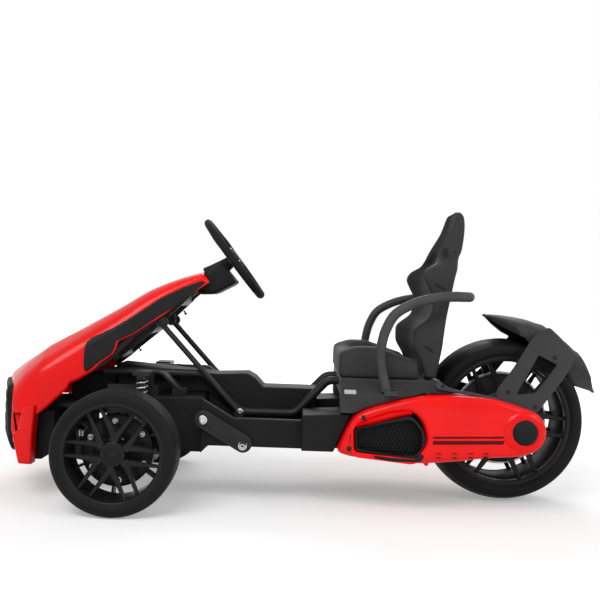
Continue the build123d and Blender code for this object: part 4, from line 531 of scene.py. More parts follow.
def pressed(outlines, depth, rounding, steps=3):
    """Plate of a given thickness with rounded edges, centred on its own plane; later outlines are holes."""
    half = depth / 2
    levels = [(-half + rounding * (1 - cos(pi / 2 * i / steps)), rounding * (1 - sin(pi / 2 * i / steps)))
              for i in range(steps + 1)]
    levels += [(-up, inset) for up, inset in levels[::-1]]
    verts, faces, lines = [], [], []
    for number, one in enumerate(outlines):
        line = turned_left(one, number == 0)
        start = len(verts)
        wide = len(line)
        for up, inset in levels:
            verts += [(x, z, up) for x, z in shifted(line, inset)]
        for level in range(len(levels) - 1):
            for i in range(wide):
                k = (i + 1) % wide
                a = start + level * wide
                faces.append((a + i, a + k, a + wide + k, a + wide + i))
        lines.append((start, wide))
    for level in (0, len(levels) - 1):
        rim = [[Vector(verts[start + level * wide + i]) for i in range(wide)] for start, wide in lines]
        index = [start + level * wide + i for start, wide in lines for i in range(wide)]
        faces += [tuple(index[i] for i in face) for face in tessellate_polygon(rim)]
    return mesh_of(verts, faces)


def side_plate(outlines, y_one, y_two, rounding, steps=3):
    """Rounded plate in side view, between two places across the kart."""
    mesh = pressed(outlines, abs(y_two - y_one), rounding, steps)
    mesh.transform(Matrix.Translation((0, (y_one + y_two) / 2 * MM, 0)) @ Matrix.Rotation(pi / 2, 4, "X"))
    return mesh


def placed(mesh, matrix):
    """The mesh moved by a matrix, with its faces still outwards."""
    mesh.transform(matrix)
    if matrix.determinant() < 0:
        mesh.flip_normals()
    return mesh


def copy_of(mesh, matrix=None):
    """A copy of the mesh, moved by a matrix where one is given."""
    other = mesh.copy()
    return placed(other, matrix) if matrix is not None else other


def joined(*meshes):
    """One mesh of several."""
    work = bmesh.new()
    for mesh in meshes:
        work.from_mesh(mesh)
    out = bpy.data.meshes.new("form")
    work.to_mesh(out)
    work.free()
    return out


def both_sides(mesh):
    """The mesh and its mirror image across the kart."""
    return joined(mesh, copy_of(mesh, MIRROR))


def piece(name, mesh, material, body, stands_for=(), crease=38, bevel=0.0, smooth=0):
    """A finished piece of the kart: named, shaded, riding on its body."""
    mesh.name = name
    mesh.materials.clear()
    mesh.materials.append(material)
    mesh.shade_smooth()
    mesh.set_sharp_from_angle(angle=radians(crease))
    made = bpy.data.objects.new(name, mesh)
    bpy.context.scene.collection.objects.link(made)
    if smooth:
        soft = made.modifiers.new("smooth", "SUBSURF")
        soft.levels = soft.render_levels = smooth
    if bevel:
        edge = made.modifiers.new("edges", "BEVEL")
        edge.width = bevel * MM
        edge.segments = 3
        edge.limit_method = "ANGLE"
        edge.angle_limit = radians(32)
        edge.use_clamp_overlap = True
        edge.harden_normals = False
    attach(made, body)
    if stands_for:
        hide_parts(*stands_for)
    return made


def walled(made, thickness):
    """A wall's thickness for an open shell, inwards from its skin."""
    wall = made.modifiers.new("wall", "SOLIDIFY")
    wall.thickness = thickness * MM
    wall.offset = -1


def softened(node, name, material, width):
    """A copy of a CAD node with its flat faces joined up and its edges rounded, in its place."""
    mesh = frame["nodes"][node].data.copy()
    work = bmesh.new()
    work.from_mesh(mesh)
    bmesh.ops.remove_doubles(work, verts=work.verts, dist=0.01 * MM)
    bmesh.ops.dissolve_limit(work, angle_limit=radians(0.6), verts=work.verts, edges=work.edges)
    work.to_mesh(mesh)
    work.free()
    return piece(name, mesh, material, "root", (node,), bevel=width)


# ---------------------------------------------------------------- repeats, made by Geometry Nodes

def new_tree(name, inputs):
    """Node tree with a geometry input and output and named inputs: (name, socket type)."""
    tree = bpy.data.node_groups.new(name, "GeometryNodeTree")
    tree.interface.new_socket("Geometry", in_out="INPUT", socket_type="NodeSocketGeometry")
    for label, kind in inputs:
        tree.interface.new_socket(label, in_out="INPUT", socket_type=kind)
    tree.interface.new_socket("Geometry", in_out="OUTPUT", socket_type="NodeSocketGeometry")
    return tree, tree.nodes.new("NodeGroupInput"), tree.nodes.new("NodeGroupOutput")


def wheel_tree():
    """Copies of a form round an axle along Y, evenly spaced from a start angle."""
    tree, given, result = new_tree("around_the_axle", (
        ("Form", "NodeSocketObject"), ("Count", "NodeSocketInt"), ("Start", "NodeSocketFloat"),
        ("Axle", "NodeSocketVector"), ("Finish", "NodeSocketMaterial"),
    ))
    link = tree.links.new
    spots = tree.nodes.new("GeometryNodePoints")
    link(given.outputs["Count"], spots.inputs["Count"])
    number = tree.nodes.new("GeometryNodeInputIndex")
    share = math_node(tree, "DIVIDE", number.outputs[0], given.outputs["Count"])
    angle = tree.nodes.new("ShaderNodeMath")
    angle.operation = "MULTIPLY_ADD"
    link(share, angle.inputs[0])
    angle.inputs[1].default_value = 2 * pi
    link(given.outputs["Start"], angle.inputs[2])
    turn = tree.nodes.new("ShaderNodeCombineXYZ")
    link(angle.outputs[0], turn.inputs["Y"])
    form = tree.nodes.new("GeometryNodeObjectInfo")
    link(given.outputs["Form"], form.inputs["Object"])
    laid = tree.nodes.new("GeometryNodeInstanceOnPoints")
    link(spots.outputs[0], laid.inputs["Points"])
    link(form.outputs["Geometry"], laid.inputs["Instance"])
    link(turn.outputs[0], laid.inputs["Rotation"])
    real = tree.nodes.new("GeometryNodeRealizeInstances")
    link(laid.outputs[0], real.inputs[0])
    moved = tree.nodes.new("GeometryNodeTransform")
    link(real.outputs[0], moved.inputs["Geometry"])
    link(given.outputs["Axle"], moved.inputs["Translation"])
    dressed = tree.nodes.new("GeometryNodeSetMaterial")
    link(moved.outputs[0], dressed.inputs["Geometry"])
    link(given.outputs["Finish"], dressed.inputs["Material"])
    link(dressed.outputs[0], result.inputs[0])
    return tree


def seat_tree():
    """A copy of a form on every point of a mesh, its Z turned to the point's own facing, at the point's size."""
    tree, given, result = new_tree("on_seats", (
        ("Form", "NodeSocketObject"), ("Finish", "NodeSocketMaterial"),
    ))
    link = tree.links.new
    facing = tree.nodes.new("GeometryNodeInputNamedAttribute")
    facing.data_type = "FLOAT_VECTOR"
    facing.inputs["Name"].default_value = "facing"
    turn = tree.nodes.new("FunctionNodeAlignRotationToVector")
    turn.axis = "Z"
    link(facing.outputs["Attribute"], turn.inputs["Vector"])
    form = tree.nodes.new("GeometryNodeObjectInfo")
    link(given.outputs["Form"], form.inputs["Object"])
    laid = tree.nodes.new("GeometryNodeInstanceOnPoints")
    link(given.outputs["Geometry"], laid.inputs["Points"])
    link(form.outputs["Geometry"], laid.inputs["Instance"])
    link(turn.outputs["Rotation"], laid.inputs["Rotation"])
    own = tree.nodes.new("GeometryNodeInputNamedAttribute")
    own.data_type = "FLOAT"
    own.inputs["Name"].default_value = "own_size"
    link(own.outputs["Attribute"], laid.inputs["Scale"])
    real = tree.nodes.new("GeometryNodeRealizeInstances")
    link(laid.outputs[0], real.inputs[0])
    dressed = tree.nodes.new("GeometryNodeSetMaterial")
    link(real.outputs[0], dressed.inputs["Geometry"])
    link(given.outputs["Finish"], dressed.inputs["Material"])
    link(dressed.outputs[0], result.inputs[0])
    return tree


def grown(tree, start, values):
    """The plain mesh that a tree makes from a start mesh with its named inputs set."""
    holder = bpy.data.objects.new("seats", start)
    bpy.context.scene.collection.objects.link(holder)
    maker = holder.modifiers.new("maker", "NODES")
    maker.node_group = tree
    for item in tree.interface.items_tree:
        if item.item_type == "SOCKET" and item.in_out == "INPUT" and item.name in values:
            maker[item.identifier] = values[item.name]
    bpy.context.view_layer.update()
    mesh = bpy.data.meshes.new_from_object(holder.evaluated_get(bpy.context.evaluated_depsgraph_get()))
    holder.modifiers.remove(maker)
    bpy.data.objects.remove(holder)
    return mesh


def held_form(mesh):
    """A form kept out of the picture while a tree copies it."""
    holder = bpy.data.objects.new("form", mesh)
    bpy.context.scene.collection.objects.link(holder)
    return holder


AROUND = wheel_tree()
ON_SEATS = seat_tree()


def around(form, count, start, centre, middle, material):
    """A form repeated round a wheel's axle; its place is given from the axle's middle."""
    holder = held_form(form)
    mesh = grown(AROUND, bpy.data.meshes.new("start"), {
        "Form": holder, "Count": count, "Start": radians(start), "Finish": material,
        "Axle": (centre[0] * MM, middle * MM, centre[1] * MM),
    })
    bpy.data.objects.remove(holder)
    return mesh


def on_seats(form, seats, material):
    """A form on every seat: (place, the way it faces, its own size where that isn't 1)."""
    start = bpy.data.meshes.new("seats")
    start.from_pydata([Vector(seat[0]) * MM for seat in seats], [], [])
    start.attributes.new("facing", "FLOAT_VECTOR", "POINT")
    start.attributes.new("own_size", "FLOAT", "POINT")
    for i, seat in enumerate(seats):
        start.attributes["facing"].data[i].vector = Vector(seat[1]).normalized()
        start.attributes["own_size"].data[i].value = seat[2] if len(seat) > 2 else 1.0
    holder = held_form(form)
    mesh = grown(ON_SEATS, start, {"Form": holder, "Finish": material})
    bpy.data.objects.remove(holder)
    return mesh


def turned(profile, steps):
    """Round form about Z: profile of (radius, height) from the axis to the axis."""
    rings = [[(radius * cos(2 * pi * i / steps), radius * sin(2 * pi * i / steps), up) for radius, up in profile]
             for i in range(steps)]
    return lofted(rings, closed=False, looped=True, capped=False)


def socket_screw(radius=5.0, high=3.4):
    """Round-headed screw with a recess for a key, on a washer."""
    key = radius * 0.5
    return turned(((0, -1.5), (radius * 1.45, -1.5), (radius * 1.45, 0.2), (radius * 1.38, 0.5), (radius, 0.5),
                   (radius, high * 0.55), (radius * 0.8, high * 0.92), (key * 1.1, high), (key * 1.02, high * 0.9),
                   (key, high * 0.45), (0, high * 0.42)), 18)


def hex_bolt(radius=6.0, high=4.5):
    """Six-sided bolt head with its washer and a turned dome."""
    washer = turned(((0, -1.2), (radius * 1.4, -1.2), (radius * 1.4, 0.3), (radius * 1.3, 0.6), (0, 0.6)), 22)
    six = [(radius * cos(pi * i / 3), radius * sin(pi * i / 3)) for i in range(6)]
    small = [(x * 0.86, y * 0.86) for x, y in six]
    head = lofted([[(x, y, 0.4) for x, y in six], [(x, y, high * 0.75) for x, y in six],
                   [(x, y, high) for x, y in small], [(x * 0.5, y * 0.5, high) for x, y in six],
                   [(x * 0.42, y * 0.42, high * 0.8) for x, y in six]])
    return joined(washer, head)


# ---------------------------------------------------------------- wheels

def spoke_pair(barrel_r, face, start_r):
    """Two tapered blades of a spoke, dished a little and rounded, along +X from the axle."""
    thick = 9
    # Space between the blades and width of a blade, at the hub and at the barrel, in shares of its radius
    gap, tip_gap, root, tip = 0.085, 0.115, 0.155, 0.055
    blades = []
    for hand in (-1, 1):
        rings = []
        for i in range(9):
            share = i / 8
            along = start_r + share * (barrel_r + 1.5 - start_r)
            near = (gap + (tip_gap - gap) * share) * barrel_r
            wide = (root + (tip - root) * share) * barrel_r
            dish = 3.2 * sin(pi * share)
            half = thick / 2 * (1 - 0.18 * sin(pi * share))
            middle = face - thick / 2 - dish
            soft = min(1.6, wide * 0.22)
            side = [(near, -half + soft), (near + soft, -half), (near + wide - soft, -half),
                    (near + wide, -half + soft), (near + wide, half - soft), (near + wide - soft, half),
                    (near + soft, half), (near, half - soft)]
            rings.append([(along, middle + out, hand * across) for across, out in side])
        blades.append(lofted(rings))
    return joined(*blades)


def wheel_form(mesh, way):
    """A form made for a wheel whose outside faces +Y, put on the side where way points."""
    return copy_of(mesh) if way > 0 else copy_of(mesh, MIRROR)


def full_profile(half):
    """A wheel's section from its outside to its middle, with the mirror image."""
    return half + [(-out, radius) for out, radius in half[-2::-1]]


def seats_round(axle, y, radius, angles, way, size):
    """Seats for screws on a circle about an axle, facing along it."""
    return [((axle[0] + radius * cos(radians(a)), y, axle[1] + radius * sin(radians(a))), (0, way, 0), size)
            for a in angles]


def front_tyre_profile():
    """Section of the front tyre: bead, bulged side wall, round shoulder and thin grooves in a flat tread."""
    return full_profile([
        (39, 94.5), (40.6, 98), (41.8, 101.5), (42, 106), (41.5, 110.5), (40, 114), (37.6, 116.6), (35.4, 117.7),
        (34.8, 116.1), (33.8, 116.4), (33.3, 118.4), (28.4, 119.3), (27.8, 117.6), (26.8, 117.7), (26.3, 119.5),
        (20.2, 119.8), (19.6, 118.1), (18.6, 118.1), (18.1, 119.9), (8, 120), (0, 120),
    ])


def make_front_wheel(name, way):
    """Front wheel: grooved tyre, rim with six pairs of spokes on a hub, ribbed inner disc and black cap."""
    body = "wheel_front_" + name
    middle = way * FRONT_WHEEL_Y
    tyre = spun(front_tyre_profile(), FRONT_AXLE, middle, way, 120)
    for radius in (104.5, 109.0):
        rib = [(41.4, radius), (42.3, radius + 0.6), (42.3, radius + 1.1), (41.4, radius + 1.7)]
        tyre = joined(tyre, spun(rib, FRONT_AXLE, middle, way, 96))
    piece("front_tyre_" + name, tyre, RUBBER, body, ("tyre_front_" + name,))

    lip = [(-39, 88.8), (36.5, 88.8), (38.4, 89.6), (39.6, 91.5), (40.2, 95.2), (39.4, 97.6), (37.8, 97.2),
           (36.6, 94.9), (-36, 94.9), (-37, 97), (-39, 97)]
    disc = [(-39, 24), (-9.8, 24), (-9, 26), (-9, 66), (-10.5, 69.3), (-13, 70), (-37, 70), (-39, 68)]
    disc_rib = [(-9.6, 44), (-6.6, 45), (-6.6, 48), (-9.6, 49)]
    hub = [(-39, 8.6), (31, 8.6), (31, 0.05), (34.5, 0.05), (34.5, 20), (33, 23), (29, 24), (-39, 24)]
    rim = joined(*(spun(part, FRONT_AXLE, middle, way, 80) for part in (lip, disc, disc_rib, hub)))
    spokes = wheel_form(spoke_pair(barrel_r=89.5, face=32, start_r=19), way)
    rim = joined(rim, around(spokes, 6, 5, FRONT_AXLE, middle, RIM))
    wall = block([(24, -13, -2.2), (92, -13, -2.2), (92, -13, 2.2), (24, -13, 2.2),
                  (24, -36, -2.2), (92, -36, -2.2), (92, -36, 2.2), (24, -36, 2.2)])
    rim = joined(rim, around(wheel_form(wall, way), 6, 35, FRONT_AXLE, middle, RIM))
    piece("front_rim_" + name, rim, RIM, body, ("rim_front_" + name,), crease=40)

    cap = [(34, 0.05), (39, 0.05), (38.8, 6), (37.6, 13), (37.2, 16.6), (36.0, 18.6), (34, 18.9)]
    groove = [(36.8, 12.4), (38.6, 12.0), (38.6, 10.6), (37, 10.2)]
    cap_mesh = joined(spun(cap, FRONT_AXLE, middle, way, 48), spun(groove, FRONT_AXLE, middle, way, 48))
    piece("front_cap_" + name, cap_mesh, BLACK, body)
    screws = seats_round(FRONT_AXLE, middle - way * 8.6, 22, range(5, 360, 60), way, 0.6)
    studs = seats_round(FRONT_AXLE, middle - way * 9.0, 57, range(35, 360, 60), way, 0.8)
    piece("front_wheel_screws_" + name, on_seats(socket_screw(), screws + studs, BOLT), BOLT, body)


def crown(out):
    """Radius of the rear tyre's crowned tread at a distance from its middle."""
    half_wide, drop = 64.0, 15.0
    bulge = (half_wide**2 + drop**2) / (2 * drop)
    return REAR_R - bulge + sqrt(bulge**2 - out**2)


def make_rear_wheel():
    """Rear wheel: crowned tyre with thin grooves, rim with spokes on both faces, drum and disc."""
    half = [(55.5, 136), (58, 139.5), (62, 143), (64, 148), (64, 155), (62.8, 160.0), (60.6, 162.6),
            (57.6, crown(57.6))]
    for groove, last in ((52.0, 44.5), (40.0, 33.5), (27.0, 20.5), (14.0, 7.0)):
        half += [(groove + 1.0, crown(groove)), (groove + 0.6, crown(groove) - 1.9),
                 (groove - 0.6, crown(groove) - 1.9), (groove - 1.0, crown(groove)), (last, crown(last))]
    half.append((0, crown(0)))
    tyre = spun(full_profile(half), REAR_AXLE, 0, 1, 144)
    for hand in (-1, 1):
        for radius in (147.0, 153.0):
            rib = [(63.4, radius), (64.6, radius + 0.7), (64.6, radius + 1.3), (63.4, radius + 2.0)]
            tyre = joined(tyre, spun(rib, REAR_AXLE, 0, hand, 96))
    piece("rear_tyre", tyre, RUBBER, "wheel_rear", ("tyre_rear",))

    barrel = [(-56, 129), (-30, 128.4), (-28, 127), (28, 127), (30, 128.4), (56, 129), (56, 136.2), (-56, 136.2)]
    piece("rear_barrel", spun(barrel, REAR_AXLE, 0, 1, 96), RUBBER, "wheel_rear")
    lip = [(50, 128), (55, 128), (57.6, 130.2), (58.6, 134.5), (57.6, 139.0), (55.4, 138.4), (54, 135.6),
           (50, 135)]
    hub = [(40, 8.2), (49, 8.2), (49.5, 22), (48, 28.5), (45, 30), (40, 31)]
    faces = []
    for hand in (-1, 1):
        spokes = wheel_form(spoke_pair(barrel_r=129, face=49, start_r=26), hand)
        faces += [spun(lip, REAR_AXLE, 0, hand, 96), spun(hub, REAR_AXLE, 0, hand, 56),
                  around(spokes, 6, 5, REAR_AXLE, 0, RIM)]
    piece("rear_rim", joined(*faces), RIM, "wheel_rear", ("rim_rear",), crease=40)

    drum = [(-42, 8.2), (-42, 58), (-40, 61.4), (-37, 62), (37, 62), (40, 61.4), (42, 58), (42, 8.2)]
    ribbed = [(-6, 61.5), (-6, 63), (6, 63), (6, 61.5)]
    plate = [(-8, 62.2), (-8, 95), (-6, 98), (6, 98), (8, 95), (8, 62.2)]
    band = [(-4, 97.5), (-4, 101), (-3, 102), (3, 102), (4, 101), (4, 97.5)]
    motor = joined(*(spun(part, REAR_AXLE, 0, 1, 80) for part in (drum, ribbed, plate)))
    piece("rear_disc_band", spun(band, REAR_AXLE, 0, 1, 96), SPRING, "wheel_rear")
    piece("rear_drum", motor, STEEL, "wheel_rear")
    bolts = []
    for hand in (-1, 1):
        bolts += seats_round(REAR_AXLE, hand * 42, 48, range(0, 360, 45), hand, 0.75)
    piece("rear_drum_bolts", on_seats(hex_bolt(), bolts, BOLT), BOLT, "wheel_rear")


# ---------------------------------------------------------------- hood, panels and nose

def chain(points, x):
    """Height of a line of points at a place along it."""
    for (x_one, z_one), (x_two, z_two) in zip(points, points[1:]):
        if x_one <= x <= x_two:
            return z_one + (z_two - z_one) * (x - x_one) / max(x_two - x_one, 1e-6)
    return points[0][1] if x < points[0][0] else points[-1][1]


def hood_section(x, cut=HOOD_EDGE, inset=0.0):
    """Right half of the hood's section at a place along the kart, from its lower edge up to its middle."""
    low, top, half_low, half_high = eased(HOOD_ROWS, (x - HOOD_X) / HOOD_LONG)
    z_low, z_top = HOOD_Z + low * HOOD_HIGH, HOOD_Z + top * HOOD_HIGH
    z_edge = z_top - 0.02 * HOOD_HIGH
    z_side = z_low + 0.7 * (z_top - z_low)
    y_low, y_high = half_low * HOOD_HALF - inset, half_high * HOOD_HALF - inset
    y_side = y_low - 0.2 * (y_low - y_high)
    line = [(y_low, z_low), (y_side, z_side), (y_high, z_edge), (0, z_top)]
    soft = min(26.0, (z_top - z_low) * 0.3)
    full = soft_line(line, [0, soft, soft * 0.8, 0], 7, closed=False)
    edge = max(z_low, chain(cut, x)) if x > cut[0][0] else z_low
    while len(full) > 2 and full[1][1] <= edge:
        full.pop(0)
    (y_one, z_one), (y_two, z_two) = full[:2]
    if z_one < edge:
        full[0] = (y_one + (y_two - y_one) * (edge - z_one) / (z_two - z_one), edge)
    return evenly(full, 34)


def evenly(line, count):
    """The line of points again, with a given number of points at equal steps along it."""
    steps = [hypot(b[0] - a[0], b[1] - a[1]) for a, b in zip(line, line[1:])]
    total, out, i, done = sum(steps), [], 0, 0.0
    for k in range(count):
        goal = total * k / (count - 1)
        while i < len(steps) - 1 and done + steps[i] < goal:
            done += steps[i]
            i += 1
        t = min(1.0, (goal - done) / max(steps[i], 1e-9))
        (x_one, z_one), (x_two, z_two) = line[i:i + 2]
        out.append((x_one + (x_two - x_one) * t, z_one + (z_two - z_one) * t))
    return out


def hood_side(x, z):
    """Half-width of the hood's skin at a place along the kart and a height."""
    section = hood_section(x)
    for (y_one, z_one), (y_two, z_two) in zip(section, section[1:]):
        if z_one <= z <= z_two and z_two > z_one:
            return y_one + (y_two - y_one) * (z - z_one) / (z_two - z_one)
    return section[0][0] if z < section[0][1] else section[-2][0]


def before_end(x, y, z):
    """How far a point lies past the slanted plane in which the hood ends."""
    return (Vector((x, y, z)) - STEER_CENTRE).dot(STEER_AXIS) + HOOD_END


def hood_line_end(column):
    """Where one line of the hood's skin, from nose to boss, meets the slanted end."""
    low, high = HOOD_X, HOOD_X + HOOD_LONG
    for _ in range(24):
        x = (low + high) / 2
        y, z = hood_section(x)[column]
        if before_end(x, y, z) > 0:
            high = x
        else:
            low = x
    return low


def faced(mesh, place, way):
    """The open shell with its faces turned so that the one nearest a place looks the given way."""
    work = bmesh.new()
    work.from_mesh(mesh)
    bmesh.ops.recalc_face_normals(work, faces=work.faces)
    spot = Vector(place) * MM
    near = min(work.faces, key=lambda face: (face.calc_center_median() - spot).length)
    if near.normal.dot(Vector(way)) < 0:
        bmesh.ops.reverse_faces(work, faces=work.faces)
    work.to_mesh(mesh)
    work.free()
    return mesh


def nose_back(y):
    """How far the nose lies behind its tip, at a distance from the middle."""
    blunt, slope = 12.0, 0.378
    return (hypot(y, blunt) - blunt) * slope


def swept(mesh, reach=110.0):
    """The nose drawn back towards its corners, so that in plan it runs to a blunt arrow."""
    for vertex in mesh.vertices:
        x, y = vertex.co.x / MM, vertex.co.y / MM
        fade = min(1.0, max(0.0, 1 - (x - HOOD_X) / reach))
        vertex.co.x += nose_back(y) * fade * MM
    return mesh


def make_hood():
    """Red hood, one smooth shell from the nose to the boss with leaning sides and a flat top, and its lining."""
    count = 110
    ends = [hood_line_end(column) for column in range(len(hood_section(HOOD_X)))]
    rings = []
    for i in range(count + 1):
        right = []
        for column, end in enumerate(ends):
            x = HOOD_X + (end - HOOD_X) * i / count
            y, z = hood_section(x)[column]
            right.append((x, y, z))
        rings.append(whole(right))
    nose = []
    for share, back in ((0.72, 0.0), (0.9, 0.0), (0.97, 1.2)):
        nose.append([(x + back, y * share, HOOD_Z + (z - HOOD_Z) * share) for x, y, z in rings[0]])
    first = [(x + 3.4, y, z) for x, y, z in rings[0]]
    shell = faced(lofted(nose + [first] + rings[1:], closed=False, capped=False), (-430, 0, 380), (-0.5, 0, 1))
    walled(piece("red_hood", swept(shell), RED, "root", ("hood",), crease=50), 3.2)

    start, end, high = LINING_EDGE[0][0], LINING_EDGE[-1][0], 16
    sheets = []
    for inset in (3.6, 6.4):
        grid = []
        for i in range(91):
            x = start + (end - start) * i / 90
            foot = hood_section(x, LINING_EDGE, inset)[0]
            head = (hood_side(x, foot[1] + high) - inset, foot[1] + high)
            grid.append([(x, foot[0] + (head[0] - foot[0]) * j / 4, foot[1] + (head[1] - foot[1]) * j / 4)
                         for j in range(5)])
        sheets.append(grid)
    forms = [lofted([one + two[::-1] for one, two in zip(*sheets)])]
    for x, y, z in ((-386.0, 121, 295.0), (-277.0, 81, 386.0)):
        pin = tube([(x, 0, z), (x + 4.5, 0, z - 7.0)], 1.7, 12)
        head = tube([(x + 3.6, 0, z - 5.6), (x + 5.2, 0, z - 8.2)], 3.2, 12)
        forms.append(placed(joined(pin, head), Matrix.Translation((0, y * MM, 0))))
    piece("hood_lining", both_sides(joined(*forms)), BLACK, "root", crease=50)


def draped(high, low, proud, thick, count=90, rows=9):
    """Panel laid on the hood's side between an upper and a lower line, with a rolled edge."""
    sheets = []
    start, end = high[0][0], high[-1][0]
    for level, inset in ((-thick, 0.0), (proud - 0.8, 0.0), (proud, 1.1)):
        grid = []
        for i in range(count + 1):
            x = start + (end - start) * i / count
            x = min(max(x, start + inset), end - inset)
            top, bottom = chain(high, x) - inset, chain(low, x) + inset
            grid.append([(x, -(hood_side(x, bottom + (top - bottom) * j / rows) + level),
                          bottom + (top - bottom) * j / rows) for j in range(rows + 1)])
        sheets.append(grid)
    verts, faces = [], []

    def add(quads):
        """Faces with corners of their own."""
        for quad in quads:
            faces.append(tuple(range(len(verts), len(verts) + 4)))
            verts.extend(quad)

    for grid in (sheets[0], sheets[2]):
        add((grid[i][j], grid[i + 1][j], grid[i + 1][j + 1], grid[i][j + 1])
            for i in range(count) for j in range(rows))
    for one, two in zip(sheets, sheets[1:]):
        for j in (0, rows):
            add((one[i][j], one[i + 1][j], two[i + 1][j], two[i][j]) for i in range(count))
        for i in (0, count):
            add((one[i][j], one[i][j + 1], two[i][j + 1], two[i][j]) for j in range(rows))
    return mesh_of(verts, faces)


def make_side_panels():
    """Black panels on the hood's sides, which follow its skin up to the boss."""
    panel = swept(draped(outline(PANEL_HIGH, *HOOD_BOX), outline(PANEL_LOW, *HOOD_BOX), proud=2.4, thick=0.6))
    piece("black_side_panels", both_sides(panel), PANEL, "root", ("hood_side_panels",), crease=55)


def across_plate(outlines, x_one, x_two, rounding):
    """Rounded plate in front view: outlines of (across, up), between two places along the kart."""
    mesh = pressed(outlines, abs(x_two - x_one), rounding)
    turn = Matrix(((0, 0, 1, (x_one + x_two) / 2 * MM), (1, 0, 0, 0), (0, 1, 0, 0), (0, 0, 0, 1)))
    return placed(mesh, turn)


def slot_hole(across, up, half, high):
    """Outline of a slot with round ends."""
    end = high / 2

    def round_end(centre, start):
        """Half a circle about a place on the slot's middle line."""
        return [(centre + end * cos(a), up + end * sin(a)) for a in (radians(start + 18 * i) for i in range(11))]

    return round_end(across + half - end, -90) + round_end(across - half + end, 90)


def box_outline(x_low, x_high, z_low, z_high, corner):
    """Outline of a rectangle with round corners."""
    return soft_line([(x_low, z_low), (x_high, z_low), (x_high, z_high), (x_low, z_high)], corner, 6)


def cut_across(mesh, places):
    """Adds edges across a long form at given places, so that it can bend there."""
    work = bmesh.new()
    work.from_mesh(mesh)
    for y in places:
        bmesh.ops.bisect_plane(work, geom=work.verts[:] + work.edges[:] + work.faces[:],
                               plane_co=(0, y * MM, 0), plane_no=(0, 1, 0))
    work.to_mesh(mesh)
    work.free()
    return mesh


# The bumper's section from the nose backwards and upwards, in shares, at its middle and at its ends
BUMPER_MIDDLE = ((0.0, 1.0), (0.0, 0.55), (0.18, 0.3), (0.32, 0.0), (0.7, 0.0), (1.0, 0.9), (1.0, 1.0))
BUMPER_END = ((0.0, 1.0), (0.0, 0.55), (0.5, 0.3), (0.75, 0.0), (0.9, 0.0), (1.0, 0.9), (1.0, 1.0))


def bumper_section(y, inset):
    """Section of the bumper at a distance from the middle, drawn in for its rounded ends."""
    t = abs(y) / 164
    shares = [(a[0] + (b[0] - a[0]) * t, a[1]) for a, b in zip(BUMPER_MIDDLE, BUMPER_END)]
    back = nose_back(y)
    line = soft_line(outline(shares, HOOD_X + back, 77, 84 - back, 98), [3, 16, 9, 9, 5, 4, 3], 6)
    return [(x, y, z) for x, z in shifted(turned_left(line), inset)]


def make_nose():
    """Black grille plate, red bumper and corner fins."""
    middle, spacing = 160.0, 24
    holes = [slot_hole(0, middle + spacing * k, 118, 11) for k in (-2, -1, 0, 1, 2)]
    grille = across_plate([box_outline(-150, 150, 92, 228, 22)] + holes, -651.5, -640.0, 3.2)
    backing = across_plate([box_outline(-124, 124, 104, 216, 10)], -641.5, -639.0, 0.5)
    grille = cut_across(joined(grille, backing), [y * 10.0 for y in range(-14, 15)])
    bars = [((-645.0, y, middle + spacing * k), (1, 0, 0)) for k in (-2, -1, 0, 1, 2) for y in range(-96, 97, 16)]
    slat = block([(-3.2, -7.2, -2.0), (3.2, -7.2, -2.0), (3.2, 7.2, -2.0), (-3.2, 7.2, -2.0),
                  (-1.6, -7.2, 2.4), (1.6, -7.2, 2.4), (1.6, 7.2, 2.4), (-1.6, 7.2, 2.4)])
    grille = swept(joined(grille, on_seats(slat, bars, BLACK)))
    # The plate leans back towards its lower and its upper edge
    for vertex in grille.vertices:
        z = vertex.co.z / MM
        below, above = max(0.0, (136 - z) / 44), max(0.0, (z - 200) / 28)
        vertex.co.x += (16.0 * below ** 1.3 + 3.0 * above ** 2) * MM
    piece("nose_grille_plate", grille, BLACK, "root", ("nose_grille",))

    def bumper_end(hand):
        """Sections that round off one end of the bumper, from outside to inside."""
        half, soft = 164, 6.0
        return [bumper_section(hand * (half - out), soft - sqrt(soft**2 - (soft - out)**2))
                for out in (0.0, 0.8, 2.2, 4.0)]

    rings = [bumper_section(-163.5 + 327 * i / 44, 0.0) for i in range(1, 44)]
    bumper = lofted(bumper_end(-1) + rings + bumper_end(1)[::-1])
    piece("red_bumper", bumper, RED, "root", ("front_bumper",), crease=50)

    line = [(-550.0, 189.5), (-527.9, 194.0), (-526.5, 186.0), (-530.2, 124.8), (-530.0, 75.5), (-556.3, 76.5),
            (-562.5, 100.0), (-570.0, 135.8), (-565.0, 138.2), (-557.5, 144.0), (-554.0, 172.0)]
    fin = side_plate([soft_line(line, [4, 3, 6, 8, 3, 3, 12, 3, 3, 5, 8])], 165, 195.8, 4.5, 5)
    brace = side_plate([box_outline(-574, -550, 116, 134, 4)], 158, 180, 2.0)
    fins = both_sides(joined(fin, brace))
    piece("corner_fins", fins, RED, "root", ("bumper_corners",), crease=50)


def on_column(mesh, rise):
    """A form about Z, set on the steering column at a height from the wheel's centre."""
    turn = STEER_AXIS.to_track_quat("Z", "Y").to_matrix().to_4x4()
    turn.translation = (STEER_CENTRE + STEER_AXIS * rise) * MM
    return placed(mesh, turn)


